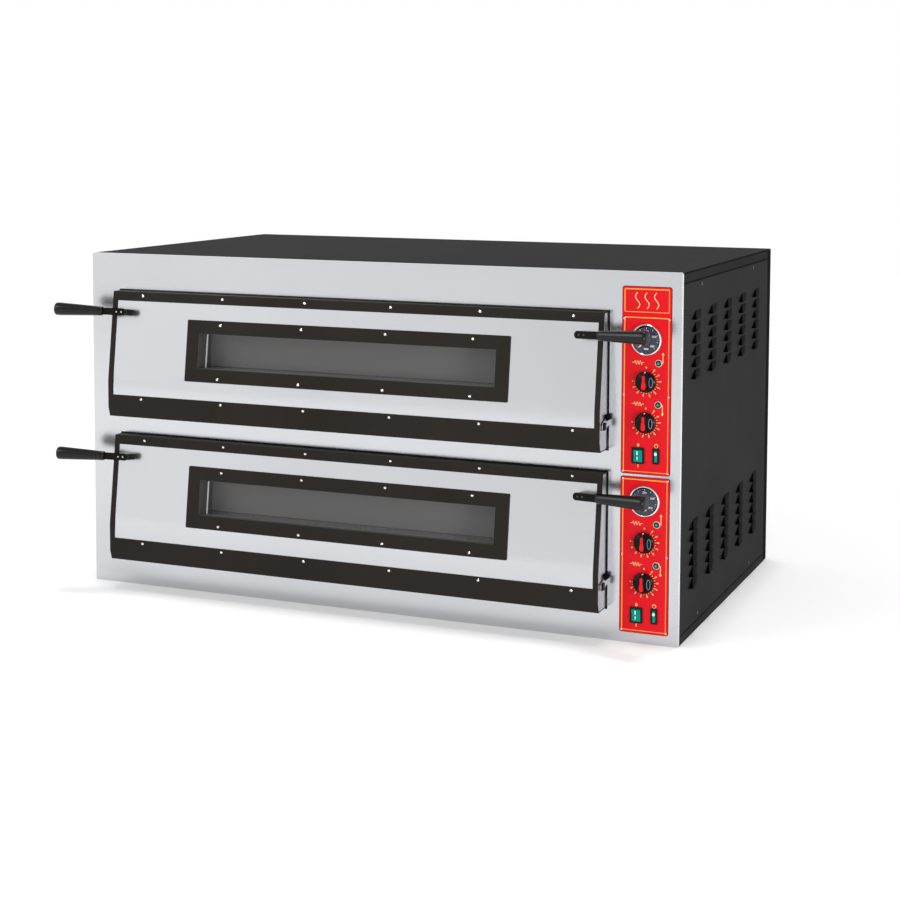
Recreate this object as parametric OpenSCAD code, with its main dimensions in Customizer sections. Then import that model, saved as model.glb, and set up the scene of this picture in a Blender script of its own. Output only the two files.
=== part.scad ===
// Two-deck electric countertop pizza oven.
// X runs across the front, Y runs from the front to the back, Z is up.
// The origin is the centre of the casing's footprint, on the surface that it stands on.

/* [Casing] */
// Overall width of the casing
body_w = 1370; // [1350:10:1450]
// Depth of the casing, from the face of the front panel to the back
body_d = 800; // [780:10:900]
// Overall height of the casing
body_h = 750; // [750:1:780]
// Thickness of the casing and liner sheets
sheet = 2; // [1.5:0.5:2.5]
// Height of the folded edges of the base pan and the top cover
edge_h = 20; // [16:1:24]
// Depth of the front panel's folded edge
front_edge_d = 10; // [8:1:14]
// Depth of the back panel's folded edge
back_edge_d = 25; // [20:1:35]

/* [Decks] */
// Height between the two decks
deck_pitch = 324; // [322:1:326]
// Width inside a baking chamber
chamber_w = 1080; // [1000:10:1080]
// Depth inside a baking chamber
chamber_d = 715; // [680:5:720]
// Height of a chamber's steel floor above its deck's base line
chamber_floor = 109; // [106:1:112]
// Height inside a baking chamber, from its steel floor to its ceiling
chamber_h = 196; // [190:1:200]
// Offset of the chambers and doors from the casing's centre
chamber_x = -38.5; // [-45:0.5:-30]
// Thickness of the refractory baking stones
stone_t = 17; // [14:1:20]
// Height of the baking surface above the deck's base line
stone_top = 154; // [152:1:156]
// Number of stones side by side on each deck
stone_count = 3; // [2:1:4]

/* [Doors] */
// Width of a door
door_w = 1146; // [1100:2:1146]
// Height of a door
door_h = 278; // [276:1:280]
// Height of a door's lower edge above the deck's base line
door_z = 66; // [64:1:68]
// Clearance around a door
door_gap = 3; // [2.5:0.5:4]
// How far a door's lower half stands out from the front panel
door_proud = 54; // [50:1:56]
// How far a door's top edge stands out from the front panel
door_top_proud = 28; // [24:1:32]
// Height above the door's lower edge where its face starts to lean back
kink_h = 80; // [75:1:85]
// Height of the hinge pins above the door's lower edge
pivot_h = 51; // [50:1:52]
// Width inside a window frame's opening
window_w = 696; // [600:2:696]
// Height inside a window frame's opening
window_h = 77; // [70:1:78]
// Width of a window frame's border
window_border = 29; // [27:1:30]

/* [Handles] */
// Length of a handle grip
grip_len = 111; // [90:1:112]
// Largest radius of a handle grip
grip_r = 14.2; // [12:0.1:15]
// Angle between a handle and the door's face
handle_angle = 13; // [10:1:16]

/* [Controls] */
// Width of a control plate
plate_w = 100; // [96:1:104]
// Distance of the control plates from the casing's centre
plate_x = 614; // [612:1:616]
// Radius of a thermometer's bezel
gauge_r = 32; // [30:0.5:34]
// Radius of a thermostat knob
knob_r = 21.2; // [19:0.1:22]
// Radius of a pilot lamp's ring
lamp_r = 8.5; // [8:0.1:9]

/* [Hidden] */

$fn = 48;

// The oven is drawn with the face of its front panel at y = 0 and moved back by this much.
front_y = -body_d / 2;
decks = [0, deck_pitch];

// Colours
steel = [0.80, 0.80, 0.82];
liner_steel = [0.66, 0.66, 0.67];
frame_black = [0.17, 0.16, 0.14];
casing_grey = [0.22, 0.23, 0.23];
plate_red = [0.84, 0.10, 0.14];

// Running clearance between a turning shaft and its bore, on the radius
running = 0.05;
// Overlap that lets a cut pass cleanly through a face
eps = 1;

// Casing
casing_corner = 2.5;
shell_end = body_d - back_edge_d;
stand_hole_x = 1240;
stand_hole_y = 660;
stand_hole_r = 5.5;

// Louvres in each side panel
louver_columns = 5;
louver_rows = 6;
louver_pitch_y = 134;
louver_pitch_z = 24;
louver_y = 72;
louver_groups_z = [101, 530];
louver_len = 76;
louver_h = 17;
louver_rise = 9;
louver_slot = 34;

// Side screws
side_screw_y = [150, 615];
side_screw_z = [34, 718];
back_screw_x = [-600, 0, 600];
back_screw_z = [60, 690];

// Chamber
recess_d = 40;
chamber_end = recess_d + chamber_d;
chamber_top = chamber_floor + chamber_h;
mouth_bottom = 150;
mouth_top = 296;
// Open joint between the strips of a door's surround
seam = 0.2;
stone_gap = 1;
ledge_d = 6;
element_r = 4;
element_legs = 60;
element_count = 4;
element_rows = [123, 289];
element_start = chamber_x - chamber_w / 2 + 90;
element_end = chamber_x + chamber_w / 2 + 60;
element_reach = 65;
lamp_y = 215;
lamp_z = 225;
lamp_glass_r = 24;
lamp_dome_h = 10;
lamp_body_h = 40;
lamp_socket_r = 9.5;
lamp_socket_h = 24;

// Mineral wool: space to the casing and joint between boards
wool_margin = 25;
wool_gap = 1;
wool_side_t = 60;
wool_back_margin = 8;

// Control bay
bay_x = chamber_x + chamber_w / 2 + 48;

// Doors
door_left = chamber_x - door_w / 2;
door_right = chamber_x + door_w / 2;
door_top = door_z + door_h;
door_back = 5;
kink_z = door_z + kink_h;
chamfer_h = 20;
chamfer_d = 6;
frame_t = 2;
panel_t = 1.5;
border_side = 11;
border_top = 20;
border_bottom = 49;
pivot_y = -33;
pivot_z = door_z + pivot_h;
plug_d = 30;
plug_w = 1110;
plug_bottom = 146;
plug_top = 302;
face_angle = atan((door_proud - door_top_proud) / (door_h - kink_h - frame_t));
window_low = 9;
frame_w = window_w + 2 * window_border;
frame_h = window_h + 2 * window_border;
window_frame_t = 3;
window_corner = 2.5;
tunnel_w = 700;
tunnel_bottom = 182;
tunnel_top = 266;
tunnel_wall = 2;
pane_t = 4;
pane_y = [14, 25];
screw_head_r = 3.4;
screw_head_h = 2;
screw_shank_r = 2;
screw_len = 8;
screw_slack = 0.2;
top_screw_shift = 6.5;
bottom_screw_shift = 14.5;
border_screws = 6;
border_screw_pitch = 201;
window_screws = 4;
window_screw_pitch = 197;

// Hinges
pin_r = 4;
pin_head_r = 6.5;
bracket_t = 2;

// Handles
handle_low = 153;
bar_tip = 521;
bar_end = 574;
bar_h = 15.5;
bar_t = 5;
bar_stand = 26;
bar_len = (bar_end - bar_tip) / cos(handle_angle);
block_x = [4, 40];
bar_screw_len = 22;
tang_r = 4;
tang_len = 60;
bar_screws = [11, 22];

// Controls, measured from the deck's base line
gauge_z = 291;
lamp_places = [[639, 245], [639, 162]];
knob_places = [207, 125];
heat_rocker_at = [599, 58];
light_rocker_at = [636, 59];
heat_rocker_size = [26.5, 33];
light_rocker_size = [14, 32];
rocker_tilt = 7;
rocker_pin_r = 1.5;
plate_t = 1.5;
knob_gap = 2.5;
spindle_r = 3;
needle_r = 1.5;
upper_plate_z = [345, 720];
lower_plate_z = [22, 338];
plate_corner = 4;
plate_screw_margin = 4;
plate_screw_scale = 0.6;
badge_h = 60;
plate_screw_rows = [[upper_plate_z[0], upper_plate_z[1] - badge_h], lower_plate_z];
plate_screw_places = [
    for (zs = plate_screw_rows, side = [-1, 1], place = [0, 0.5, 1])
        [plate_x + side * (plate_w / 2 - plate_screw_margin),
            zs[0] + plate_screw_margin + place * (zs[1] - zs[0] - 2 * plate_screw_margin)]
];
gauge_can_r = 27.5;
gauge_can_d = 32;
gauge_dial_r = gauge_r - 3.6;
gauge_seat = 3;
bushing_r = 5;
thermostat_size = [48, 44, 34];
spindle_back = 24;
lamp_barrel_r = 6;
lamp_barrel_d = 14;
rocker_lip = 2;
rocker_case_d = 24;

// Cable gland in the back panel and terminal block beside it
gland_x = 600;
gland_z = 80;
gland_thread_r = 12.5;
gland_bore_r = 9;
gland_nut_r = 18;
gland_nut_h = 6;
terminal_w = 90;
terminal_y = body_d - 190;
terminal_d = 40;
terminal_h = 32;

// ---------- helpers ----------

// Moves the oven from its drawing place, with the front at y = 0, to its own place
module placed() {
    translate([0, front_y, 0]) children();
}

// Box from one corner to the other
module box(low, high) {
    translate(low) cube(high - low);
}

// Sweeps a side outline, drawn as [y, z] points, along X from x0 to x1
module along_x(x0, x1) {
    translate([x0, 0, 0]) rotate([90, 0, 90]) linear_extrude(x1 - x0) children();
}

// Puts a shape, drawn towards +Z, on the front face at [x, z], pointing at the user
module facing(x, z) {
    translate([x, 0, z]) rotate([90, 0, 0]) children();
}

module rounded_rect(w, h, r) {
    square([w - 2 * r, h], center = true);
    square([w, h - 2 * r], center = true);
    for (sx = [-1, 1], sy = [-1, 1]) {
        translate([sx * (w / 2 - r), sy * (h / 2 - r)]) circle(r);
    }
}

// Mirrors a shape to both sides of the door's centre line
module both_sides() {
    for (side = [0, 1]) {
        translate([chamber_x, 0, 0]) mirror([side, 0, 0]) children();
    }
}

// ---------- casing ----------

// Sheet with its edges folded up by d, lying flat
module tray_edge(w, h, d, r) {
    difference() {
        linear_extrude(d) rounded_rect(w, h, r);
        translate([0, 0, sheet]) linear_extrude(d) rounded_rect(w - 2 * sheet, h - 2 * sheet, r - sheet);
    }
}

module base_pan() {
    color(casing_grey) placed() difference() {
        box([-body_w / 2, front_edge_d, 0], [body_w / 2, shell_end, edge_h]);
        box([-body_w / 2 + sheet, 0, sheet], [body_w / 2 - sheet, body_d, edge_h + eps]);
        for (sx = [-1, 1], sy = [-1, 1]) {
            translate([sx * stand_hole_x / 2, body_d / 2 + sy * stand_hole_y / 2, -eps])
                cylinder(r = stand_hole_r, h = sheet + 2 * eps);
        }
    }
}

module top_cover() {
    color(casing_grey) placed() difference() {
        box([-body_w / 2, front_edge_d, body_h - edge_h], [body_w / 2, shell_end, body_h]);
        box([-body_w / 2 + sheet, 0, body_h - edge_h - eps],
            [body_w / 2 - sheet, body_d, body_h - sheet]);
    }
}

module back_panel() {
    color(casing_grey) placed() difference() {
        translate([0, body_d, body_h / 2]) rotate([90, 0, 0])
            tray_edge(body_w, body_h, back_edge_d, casing_corner);
        for (x = back_screw_x, z = back_screw_z) {
            translate([x, body_d, z]) rotate([90, 0, 0]) screw_hole();
        }
        translate([gland_x, body_d + eps, gland_z]) rotate([90, 0, 0])
            cylinder(r = gland_thread_r, h = sheet + 2 * eps);
    }
}

// One louvre: a slot in the sheet and a sloping hood behind it, open towards the front
module louver_slot_cut() {
    box([-eps, 0, 0], [sheet + eps, louver_slot, louver_h]);
}

module louver_hood() {
    linear_extrude(louver_h) polygon([
        [sheet, louver_len], [sheet + louver_rise, louver_slot / 2],
        [sheet + louver_rise - 1, louver_slot / 2], [sheet, louver_len - 9]
    ]);
}

module louver_grid() {
    for (group = louver_groups_z, column = [0 : louver_columns - 1], row = [0 : louver_rows - 1]) {
        translate([0, louver_y + column * louver_pitch_y, group + row * louver_pitch_z]) children();
    }
}

// Side panel with its outer face towards +X, at x = body_w / 2
module side_panel() {
    translate([body_w / 2 - sheet, 0, 0]) {
        difference() {
            box([0, front_edge_d, edge_h], [sheet, shell_end, body_h - edge_h]);
            louver_grid() louver_slot_cut();
            for (y = side_screw_y, z = side_screw_z) {
                translate([sheet, y, z]) rotate([0, -90, 0]) screw_hole();
            }
        }
        louver_grid() louver_hood();
    }
}

module right_side_panel() {
    color(casing_grey) placed() side_panel();
}

module left_side_panel() {
    color(casing_grey) placed() mirror([1, 0, 0]) side_panel();
}

module front_panel() {
    color(steel) placed() difference() {
        translate([0, 0, body_h / 2]) rotate([-90, 0, 0])
            tray_edge(body_w, body_h, front_edge_d, casing_corner);
        for (deck = decks) translate([0, 0, deck]) {
            box([door_left - door_gap, -eps, door_z - door_gap],
                [door_right + door_gap, sheet + eps, door_top + door_gap]);
            control_holes();
        }
        at_plate_screws() screw_hole();
    }
}

// Every hole that the controls need through the front panel and the control plate
module control_holes() {
    facing(plate_x, gauge_z) through(gauge_can_r + 0.3);
    for (at = lamp_places) facing(at[0], at[1]) through(lamp_barrel_r);
    for (z = knob_places) facing(plate_x, z) through(bushing_r);
    rocker_hole(heat_rocker_at, heat_rocker_size);
    rocker_hole(light_rocker_at, light_rocker_size);
}

module through(r) {
    translate([0, 0, -sheet - eps]) cylinder(r = r, h = 2 * (sheet + eps));
}

module rocker_hole(at, size) {
    box([at[0] - size[0] / 2 + rocker_lip, -plate_t - eps, at[1] - size[1] / 2 + rocker_lip],
        [at[0] + size[0] / 2 - rocker_lip, sheet + eps, at[1] + size[1] / 2 - rocker_lip]);
}

// ---------- fasteners ----------

// Pan-head screw: the head stands on z = 0 and the shank goes down through the hole
module screw(shank) {
    cylinder(r = screw_head_r, h = screw_head_h);
    translate([0, 0, -shank]) cylinder(r = screw_shank_r, h = shank + eps / 2);
}

module screw_hole() {
    translate([0, 0, -screw_len + 1]) cylinder(r = screw_shank_r + screw_slack, h = 2 * screw_len - 2);
}

// Small screws around the edges of the control plates
module at_plate_screws() {
    for (at = plate_screw_places) {
        facing(at[0], at[1]) translate([0, 0, plate_t]) scale(plate_screw_scale) children();
    }
}

module casing_screws() {
    color(liner_steel) placed() {
        for (side = [0, 1]) mirror([side, 0, 0]) {
            for (y = side_screw_y, z = side_screw_z) {
                translate([body_w / 2, y, z]) rotate([0, 90, 0]) screw(screw_len);
            }
        }
        for (x = back_screw_x, z = back_screw_z) {
            translate([x, body_d, z]) rotate([-90, 0, 0]) screw(screw_len);
        }
        at_plate_screws() screw(screw_len);
    }
}

// ---------- chambers ----------

// Box around a door's recess, with the mouth of the chamber in its back wall
module door_surround(deck) {
    low = [door_left - door_gap, recess_d - sheet, door_z - door_gap];
    high = [door_right + door_gap, recess_d, door_top + door_gap];
    mouth_left = chamber_x - chamber_w / 2;
    mouth_right = chamber_x + chamber_w / 2;
    color(liner_steel) placed() translate([0, 0, deck]) {
        // Four walls of the recess
        box([low[0] - sheet, sheet, low[2] - sheet], [high[0] + sheet, recess_d, low[2]]);
        box([low[0] - sheet, sheet, high[2]], [high[0] + sheet, recess_d, high[2] + sheet]);
        for (x = [low[0] - sheet, high[0]]) {
            box([x, sheet, low[2] + seam], [x + sheet, recess_d, high[2] - seam]);
        }
        // Four strips round the chamber's mouth
        box([low[0] + seam, low[1], low[2] + seam], [high[0] - seam, high[1], mouth_bottom]);
        box([low[0] + seam, low[1], mouth_top], [high[0] - seam, high[1], high[2] - seam]);
        box([low[0] + seam, low[1], mouth_bottom + seam], [mouth_left, high[1], mouth_top - seam]);
        box([mouth_right, low[1], mouth_bottom + seam], [high[0] - seam, high[1], mouth_top - seam]);
    }
}

module upper_door_surround() {
    door_surround(deck_pitch);
}

module lower_door_surround() {
    door_surround(0);
}

// Steel chamber, open at the front, with a ledge at the front and the back for the stones
module chamber(deck) {
    low = [chamber_x - chamber_w / 2, recess_d, chamber_floor];
    high = [chamber_x + chamber_w / 2, chamber_end, chamber_top];
    wall = [sheet, 0, sheet];
    color(liner_steel) placed() translate([0, 0, deck]) {
        difference() {
            box(low - wall, high + wall + [0, sheet, 0]);
            box(low - [0, eps, 0], high);
            element_holes();
            translate([high[0] - eps, lamp_y, lamp_z]) rotate([0, 90, 0])
                cylinder(r = lamp_glass_r, h = sheet + 2 * eps);
        }
        for (y = [recess_d, chamber_end - ledge_d]) {
            box([low[0], y, chamber_floor], [high[0], y + ledge_d, stone_top - stone_t]);
        }
    }
}

// Places of the heating elements' centre lines in one deck
module at_elements() {
    pitch = chamber_d / element_count;
    for (z = element_rows, i = [0 : element_count - 1]) {
        translate([0, recess_d + (i + 0.5) * pitch, z]) children();
    }
}

// Holes in the right-hand walls for the legs of the heating elements
module element_holes() {
    at_elements() for (side = [-1, 1]) {
        translate([element_end - element_reach, side * element_legs / 2, 0]) rotate([0, 90, 0])
            cylinder(r = element_r + 0.5, h = element_reach + eps);
    }
}

module upper_chamber() {
    chamber(deck_pitch);
}

module lower_chamber() {
    chamber(0);
}

module stones(deck) {
    pitch = chamber_w / stone_count;
    color([0.80, 0.74, 0.64]) placed() translate([0, 0, deck]) {
        for (i = [0 : stone_count - 1]) {
            x = chamber_x - chamber_w / 2 + i * pitch;
            box([x + stone_gap / 2, recess_d + 1, stone_top - stone_t],
                [x + pitch - stone_gap / 2, chamber_end - 1, stone_top]);
        }
    }
}

module upper_stones() {
    stones(deck_pitch);
}

module lower_stones() {
    stones(0);
}

// Hairpin heating element lying flat, with both legs towards +X
module hairpin() {
    bend_x = element_start + element_legs / 2;
    for (side = [-1, 1]) {
        translate([bend_x, side * element_legs / 2, 0]) rotate([0, 90, 0])
            cylinder(r = element_r, h = element_end - bend_x);
    }
    translate([bend_x, 0, 0]) rotate([0, 0, 90]) rotate_extrude(angle = 180)
        translate([element_legs / 2, 0]) circle(element_r);
}

module elements(deck) {
    color([0.35, 0.33, 0.32]) placed() translate([0, 0, deck]) at_elements() hairpin();
}

module upper_elements() {
    elements(deck_pitch);
}

module lower_elements() {
    elements(0);
}

// Mineral wool boards under, between, over, beside and behind the chambers
module insulation_boards() {
    left = chamber_x - chamber_w / 2 - sheet;
    right = chamber_x + chamber_w / 2 + sheet;
    low = chamber_floor - sheet;
    top = chamber_top + sheet;
    front = recess_d + sheet;
    back = chamber_end + sheet;
    bottom_z = sheet + wool_margin;
    top_z = body_h - sheet - wool_margin;
    color([0.87, 0.82, 0.62]) placed() {
        box([left, front, bottom_z], [right, back, low]);
        box([left, front, top], [right, back, deck_pitch + low]);
        box([left, front, deck_pitch + top], [right, back, top_z]);
        box([left - wool_side_t, front, bottom_z], [left - wool_gap, back, top_z]);
        difference() {
            box([right + wool_gap, front, bottom_z], [bay_x, back, top_z]);
            for (deck = decks) translate([0, 0, deck]) {
                element_holes();
                translate([right - eps, lamp_y, lamp_z]) rotate([0, 90, 0])
                    cylinder(r = lamp_glass_r + 0.5, h = 60);
            }
        }
        box([left, back + wool_gap, bottom_z], [right, body_d - sheet - wool_back_margin, top_z]);
    }
}

// Sheet wall between the insulation and the control bay
module control_bay_wall() {
    color(liner_steel) placed() difference() {
        box([bay_x, recess_d + sheet, sheet], [bay_x + sheet, shell_end, body_h - sheet]);
        for (deck = decks) translate([0, 0, deck]) {
            element_holes();
            translate([bay_x - eps, lamp_y, lamp_z]) rotate([0, 90, 0])
                cylinder(r = lamp_socket_r + 0.5, h = sheet + 2 * eps);
        }
    }
}

// Chamber lamps: a glass bulb cover in the wall and its holder behind
module chamber_lamps() {
    wall_x = chamber_x + chamber_w / 2;
    color([0.95, 0.93, 0.80]) placed() for (deck = decks) {
        translate([wall_x, lamp_y, lamp_z + deck]) rotate([0, 90, 0]) {
            translate([0, 0, -lamp_dome_h])
                cylinder(r1 = lamp_glass_r - 7, r2 = lamp_glass_r - 0.2, h = lamp_dome_h);
            cylinder(r = lamp_glass_r - 0.2, h = lamp_body_h);
            translate([0, 0, lamp_body_h]) cylinder(r = lamp_socket_r, h = lamp_socket_h);
        }
    }
}

// ---------- control column ----------

module control_plate(zs, deck) {
    height = zs[1] - zs[0];
    color(plate_red) placed() difference() {
        facing(plate_x, (zs[0] + zs[1]) / 2) linear_extrude(plate_t)
            rounded_rect(plate_w, height, plate_corner);
        translate([0, 0, deck]) control_holes();
        at_plate_screws() screw_hole();
    }
}

module upper_control_plate() {
    control_plate(upper_plate_z, deck_pitch);
}

module lower_control_plate() {
    control_plate(lower_plate_z, 0);
}

module gauge_cases() {
    bore_r = needle_r + running;
    inner_r = gauge_r - 3.5;
    lip_h = 8.5;
    color([0.75, 0.76, 0.78]) placed() for (deck = decks) {
        facing(plate_x, gauge_z + deck) rotate_extrude() polygon([
            [bore_r, -gauge_can_d], [gauge_can_r, -gauge_can_d], [gauge_can_r, plate_t],
            [gauge_r, plate_t], [gauge_r, 6], [gauge_r - 2, lip_h], [inner_r, lip_h],
            [inner_r, gauge_seat], [bore_r, gauge_seat]
        ]);
    }
}

module gauge_dials() {
    color([0.25, 0.28, 0.33]) placed() for (deck = decks) {
        facing(plate_x, gauge_z + deck) translate([0, 0, gauge_seat]) difference() {
            cylinder(r = gauge_dial_r, h = 0.8);
            translate([0, 0, -eps]) cylinder(r = needle_r + 0.5, h = 3 * eps);
        }
    }
}

module gauge_glasses() {
    color([0.8, 0.9, 0.95, 0.3]) placed() for (deck = decks) {
        facing(plate_x, gauge_z + deck) translate([0, 0, gauge_seat + 3.3])
            cylinder(r = gauge_dial_r, h = 1.4);
    }
}

// Pointer on its spindle, resting at the low end of the scale
module gauge_needle(deck) {
    height = gauge_seat + 1.4;
    back = 12;
    tail = 8;
    color("white") placed() facing(plate_x, gauge_z + deck) {
        translate([0, 0, -back]) cylinder(r = needle_r, h = height + back + 0.2);
        translate([0, 0, height]) rotate([0, 0, 135]) translate([-1, -tail, 0]) cube([2, 29, 0.8]);
    }
}

module upper_gauge_needle() {
    gauge_needle(deck_pitch);
}

module lower_gauge_needle() {
    gauge_needle(0);
}

// Thermostat bodies behind the front panel, each with a bushing that carries a knob's spindle
module thermostats() {
    size = thermostat_size;
    color([0.55, 0.55, 0.56]) placed() for (deck = decks, z = knob_places) {
        facing(plate_x, z + deck) difference() {
            union() {
                translate([-size[0] / 2, -size[1] / 2, -sheet - size[2]]) cube(size);
                translate([0, 0, -sheet - eps]) cylinder(r = bushing_r - 0.1, h = sheet + plate_t + eps);
            }
            translate([0, 0, -spindle_back - 2]) cylinder(r = spindle_r + running, h = size[2] + 6);
        }
    }
}

// Knob with a skirt, a grip across it and the spindle behind
module knob(deck, z) {
    skirt_h = 5;
    wing_w = 12;
    wing_h = 20;
    color("black") placed() facing(plate_x, z + deck) {
        translate([0, 0, -spindle_back]) cylinder(r = spindle_r, h = spindle_back + skirt_h);
        translate([0, 0, knob_gap]) cylinder(r = knob_r, h = skirt_h);
        translate([0, 0, knob_gap + skirt_h]) cylinder(r1 = knob_r - 1, r2 = knob_r - 3, h = 3);
        intersection() {
            translate([0, 0, knob_gap]) cylinder(r = knob_r - 1.5, h = wing_h);
            translate([-wing_w / 2, -knob_r, knob_gap]) cube([wing_w, 2 * knob_r, wing_h]);
        }
    }
}

module upper_top_heat_knob() {
    knob(deck_pitch, knob_places[0]);
}

module upper_bottom_heat_knob() {
    knob(deck_pitch, knob_places[1]);
}

module lower_top_heat_knob() {
    knob(0, knob_places[0]);
}

module lower_bottom_heat_knob() {
    knob(0, knob_places[1]);
}

module pilot_lamp_rings() {
    color([0.85, 0.83, 0.75]) placed() for (deck = decks, at = lamp_places) {
        facing(at[0], at[1] + deck) difference() {
            union() {
                translate([0, 0, plate_t]) cylinder(r = lamp_r, h = 2);
                translate([0, 0, -lamp_barrel_d])
                    cylinder(r = lamp_barrel_r - 0.1, h = lamp_barrel_d + plate_t);
            }
            translate([0, 0, -lamp_barrel_d - eps])
                cylinder(r = lamp_barrel_r - 1, h = lamp_barrel_d + 6);
        }
    }
}

module pilot_lamp_lenses() {
    lens_r = lamp_barrel_r - 1.05;
    color([0.02, 0.30, 0.20]) placed() for (deck = decks, at = lamp_places) {
        facing(at[0], at[1] + deck) {
            translate([0, 0, 2 - lamp_barrel_d]) cylinder(r = lens_r, h = lamp_barrel_d + 2);
            translate([0, 0, 4]) cylinder(r1 = lens_r, r2 = lens_r - 1.6, h = 1.2);
        }
    }
}

// Switch case: a bezel on the plate and a box behind, open for the rocker
module rocker_case(at, size, deck) {
    inner = [size[0] - 8, size[1] - 7.4];
    outer = [size[0] - 2 * rocker_lip - 0.2, size[1] - 2 * rocker_lip - 0.2];
    facing(at[0], at[1] + deck) difference() {
        union() {
            translate([0, 0, plate_t]) linear_extrude(2) rounded_rect(size[0], size[1], 1.5);
            translate([-outer[0] / 2, -outer[1] / 2, -rocker_case_d])
                cube([outer[0], outer[1], rocker_case_d + plate_t]);
        }
        translate([-inner[0] / 2, -inner[1] / 2, -14]) cube([inner[0], inner[1], 30]);
        translate([-inner[0] / 2 - 1.2, 0, 0]) rotate([0, 90, 0])
            cylinder(r = rocker_pin_r + running, h = inner[0] + 2.4);
    }
}

module rocker_cases() {
    color("black") placed() for (deck = decks) {
        rocker_case(heat_rocker_at, heat_rocker_size, deck);
        rocker_case(light_rocker_at, light_rocker_size, deck);
    }
}

// Rocker with its two stub pins, resting with the lower half pressed in
module rocker(at, size, deck) {
    w = size[0] - 8.8;
    h = size[1] / 2 - 4.5;
    color([0.0, 0.50, 0.42]) placed() facing(at[0], at[1] + deck) {
        rotate([rocker_tilt, 0, 0]) translate([-w / 2, 0, 0]) rotate([90, 0, 90])
            linear_extrude(w) polygon([
                [-h, 5.2], [0, 3.6], [h, 5.2], [h, -2], [3, -9], [-3, -9], [-h, -2]
            ]);
        translate([-w / 2 - 1.2, 0, 0]) rotate([0, 90, 0]) cylinder(r = rocker_pin_r, h = w + 2.4);
    }
}

module upper_heat_rocker() {
    rocker(heat_rocker_at, heat_rocker_size, deck_pitch);
}

module upper_light_rocker() {
    rocker(light_rocker_at, light_rocker_size, deck_pitch);
}

module lower_heat_rocker() {
    rocker(heat_rocker_at, heat_rocker_size, 0);
}

module lower_light_rocker() {
    rocker(light_rocker_at, light_rocker_size, 0);
}

// Terminal block on the bay's floor, near the cable gland
module terminal_block() {
    color([0.88, 0.86, 0.80]) placed() difference() {
        box([gland_x - terminal_w / 2, terminal_y, sheet],
            [gland_x + terminal_w / 2, terminal_y + terminal_d, sheet + terminal_h]);
        for (i = [-2 : 2]) {
            translate([gland_x + i * 16, terminal_y - eps, sheet + 20]) rotate([-90, 0, 0])
                cylinder(r = 4, h = terminal_d + 2 * eps);
        }
    }
}

// Gland with a hexagon outside, a lock nut inside and a tapered neck
module cable_gland() {
    thread_len = 12;
    neck_h = 16;
    color([0.15, 0.15, 0.15]) placed() translate([gland_x, body_d, gland_z]) rotate([-90, 0, 0])
        difference() {
            union() {
                cylinder(r = gland_nut_r, h = gland_nut_h, $fn = 6);
                translate([0, 0, gland_nut_h]) cylinder(r1 = 16, r2 = 13, h = neck_h);
                translate([0, 0, -thread_len]) cylinder(r = gland_thread_r - 0.2, h = thread_len + eps);
                translate([0, 0, -sheet - gland_nut_h])
                    cylinder(r = gland_nut_r, h = gland_nut_h, $fn = 6);
            }
            translate([0, 0, -thread_len - eps]) cylinder(r = gland_bore_r, h = 40);
        }
}

// ---------- doors ----------

// y of the face at height z, for the outline that lies inset behind the face
function face_y(inset, z) =
    let (slope = (door_proud - door_top_proud) / (door_top - frame_t - kink_z))
    inset - door_proud + max(0, z - kink_z) * slope;

// Side outline of the door, as [y, z] points
function door_outline(inset) = [
    [door_back, door_z + inset],
    [inset - door_proud + chamfer_d, door_z + inset],
    [inset - door_proud, door_z + chamfer_h],
    [inset - door_proud, kink_z],
    [face_y(inset, door_top - inset), door_top - inset],
    [door_back, door_top - inset]
];

// Puts a shape on the leaning face: X across, Z up the face from the kink, -Y out of the face
module on_face() {
    translate([chamber_x, frame_t - door_proud, kink_z]) rotate([-face_angle, 0, 0]) children();
}

// A shape drawn towards +Z, at [x, z] on the leaning face
module on_face_at(x, z) {
    on_face() translate([x, 0, z]) rotate([90, 0, 0]) children();
}

module deck_place(deck) {
    placed() translate([0, 0, deck]) children();
}

// Border screws: top row on the leaning face, bottom row on the upright one
module at_top_screws() {
    for (i = [0 : border_screws - 1]) {
        x = top_screw_shift + (i - (border_screws - 1) / 2) * border_screw_pitch;
        on_face_at(x, (door_top - kink_z - 9) / cos(face_angle)) children();
    }
}

module at_bottom_screws() {
    for (i = [0 : border_screws - 1]) {
        x = chamber_x + bottom_screw_shift + (i - (border_screws - 1) / 2) * border_screw_pitch;
        translate([x, frame_t - door_proud, door_z + border_bottom - 7]) rotate([90, 0, 0])
            children();
    }
}

module at_window_screws() {
    for (i = [0 : window_screws - 1], z = [window_low + 8, window_low + frame_h - 10]) {
        on_face_at((i - (window_screws - 1) / 2) * window_screw_pitch, z) children();
    }
}

// Black front frame: a folded shell that is the door's top, borders and bottom
module door_frame(deck) {
    color(frame_black) deck_place(deck) difference() {
        along_x(door_left, door_right) polygon(door_outline(0));
        along_x(door_left - eps, door_right + eps) polygon([
            for (p = door_outline(frame_t)) [p[0] + (p[0] == door_back ? eps : 0), p[1]]
        ]);
        box([door_left + border_side, -door_proud - eps, door_z + border_bottom],
            [door_right - border_side, -door_top_proud + 8, door_top - border_top]);
        at_top_screws() screw_hole();
        at_bottom_screws() screw_hole();
    }
}

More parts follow.
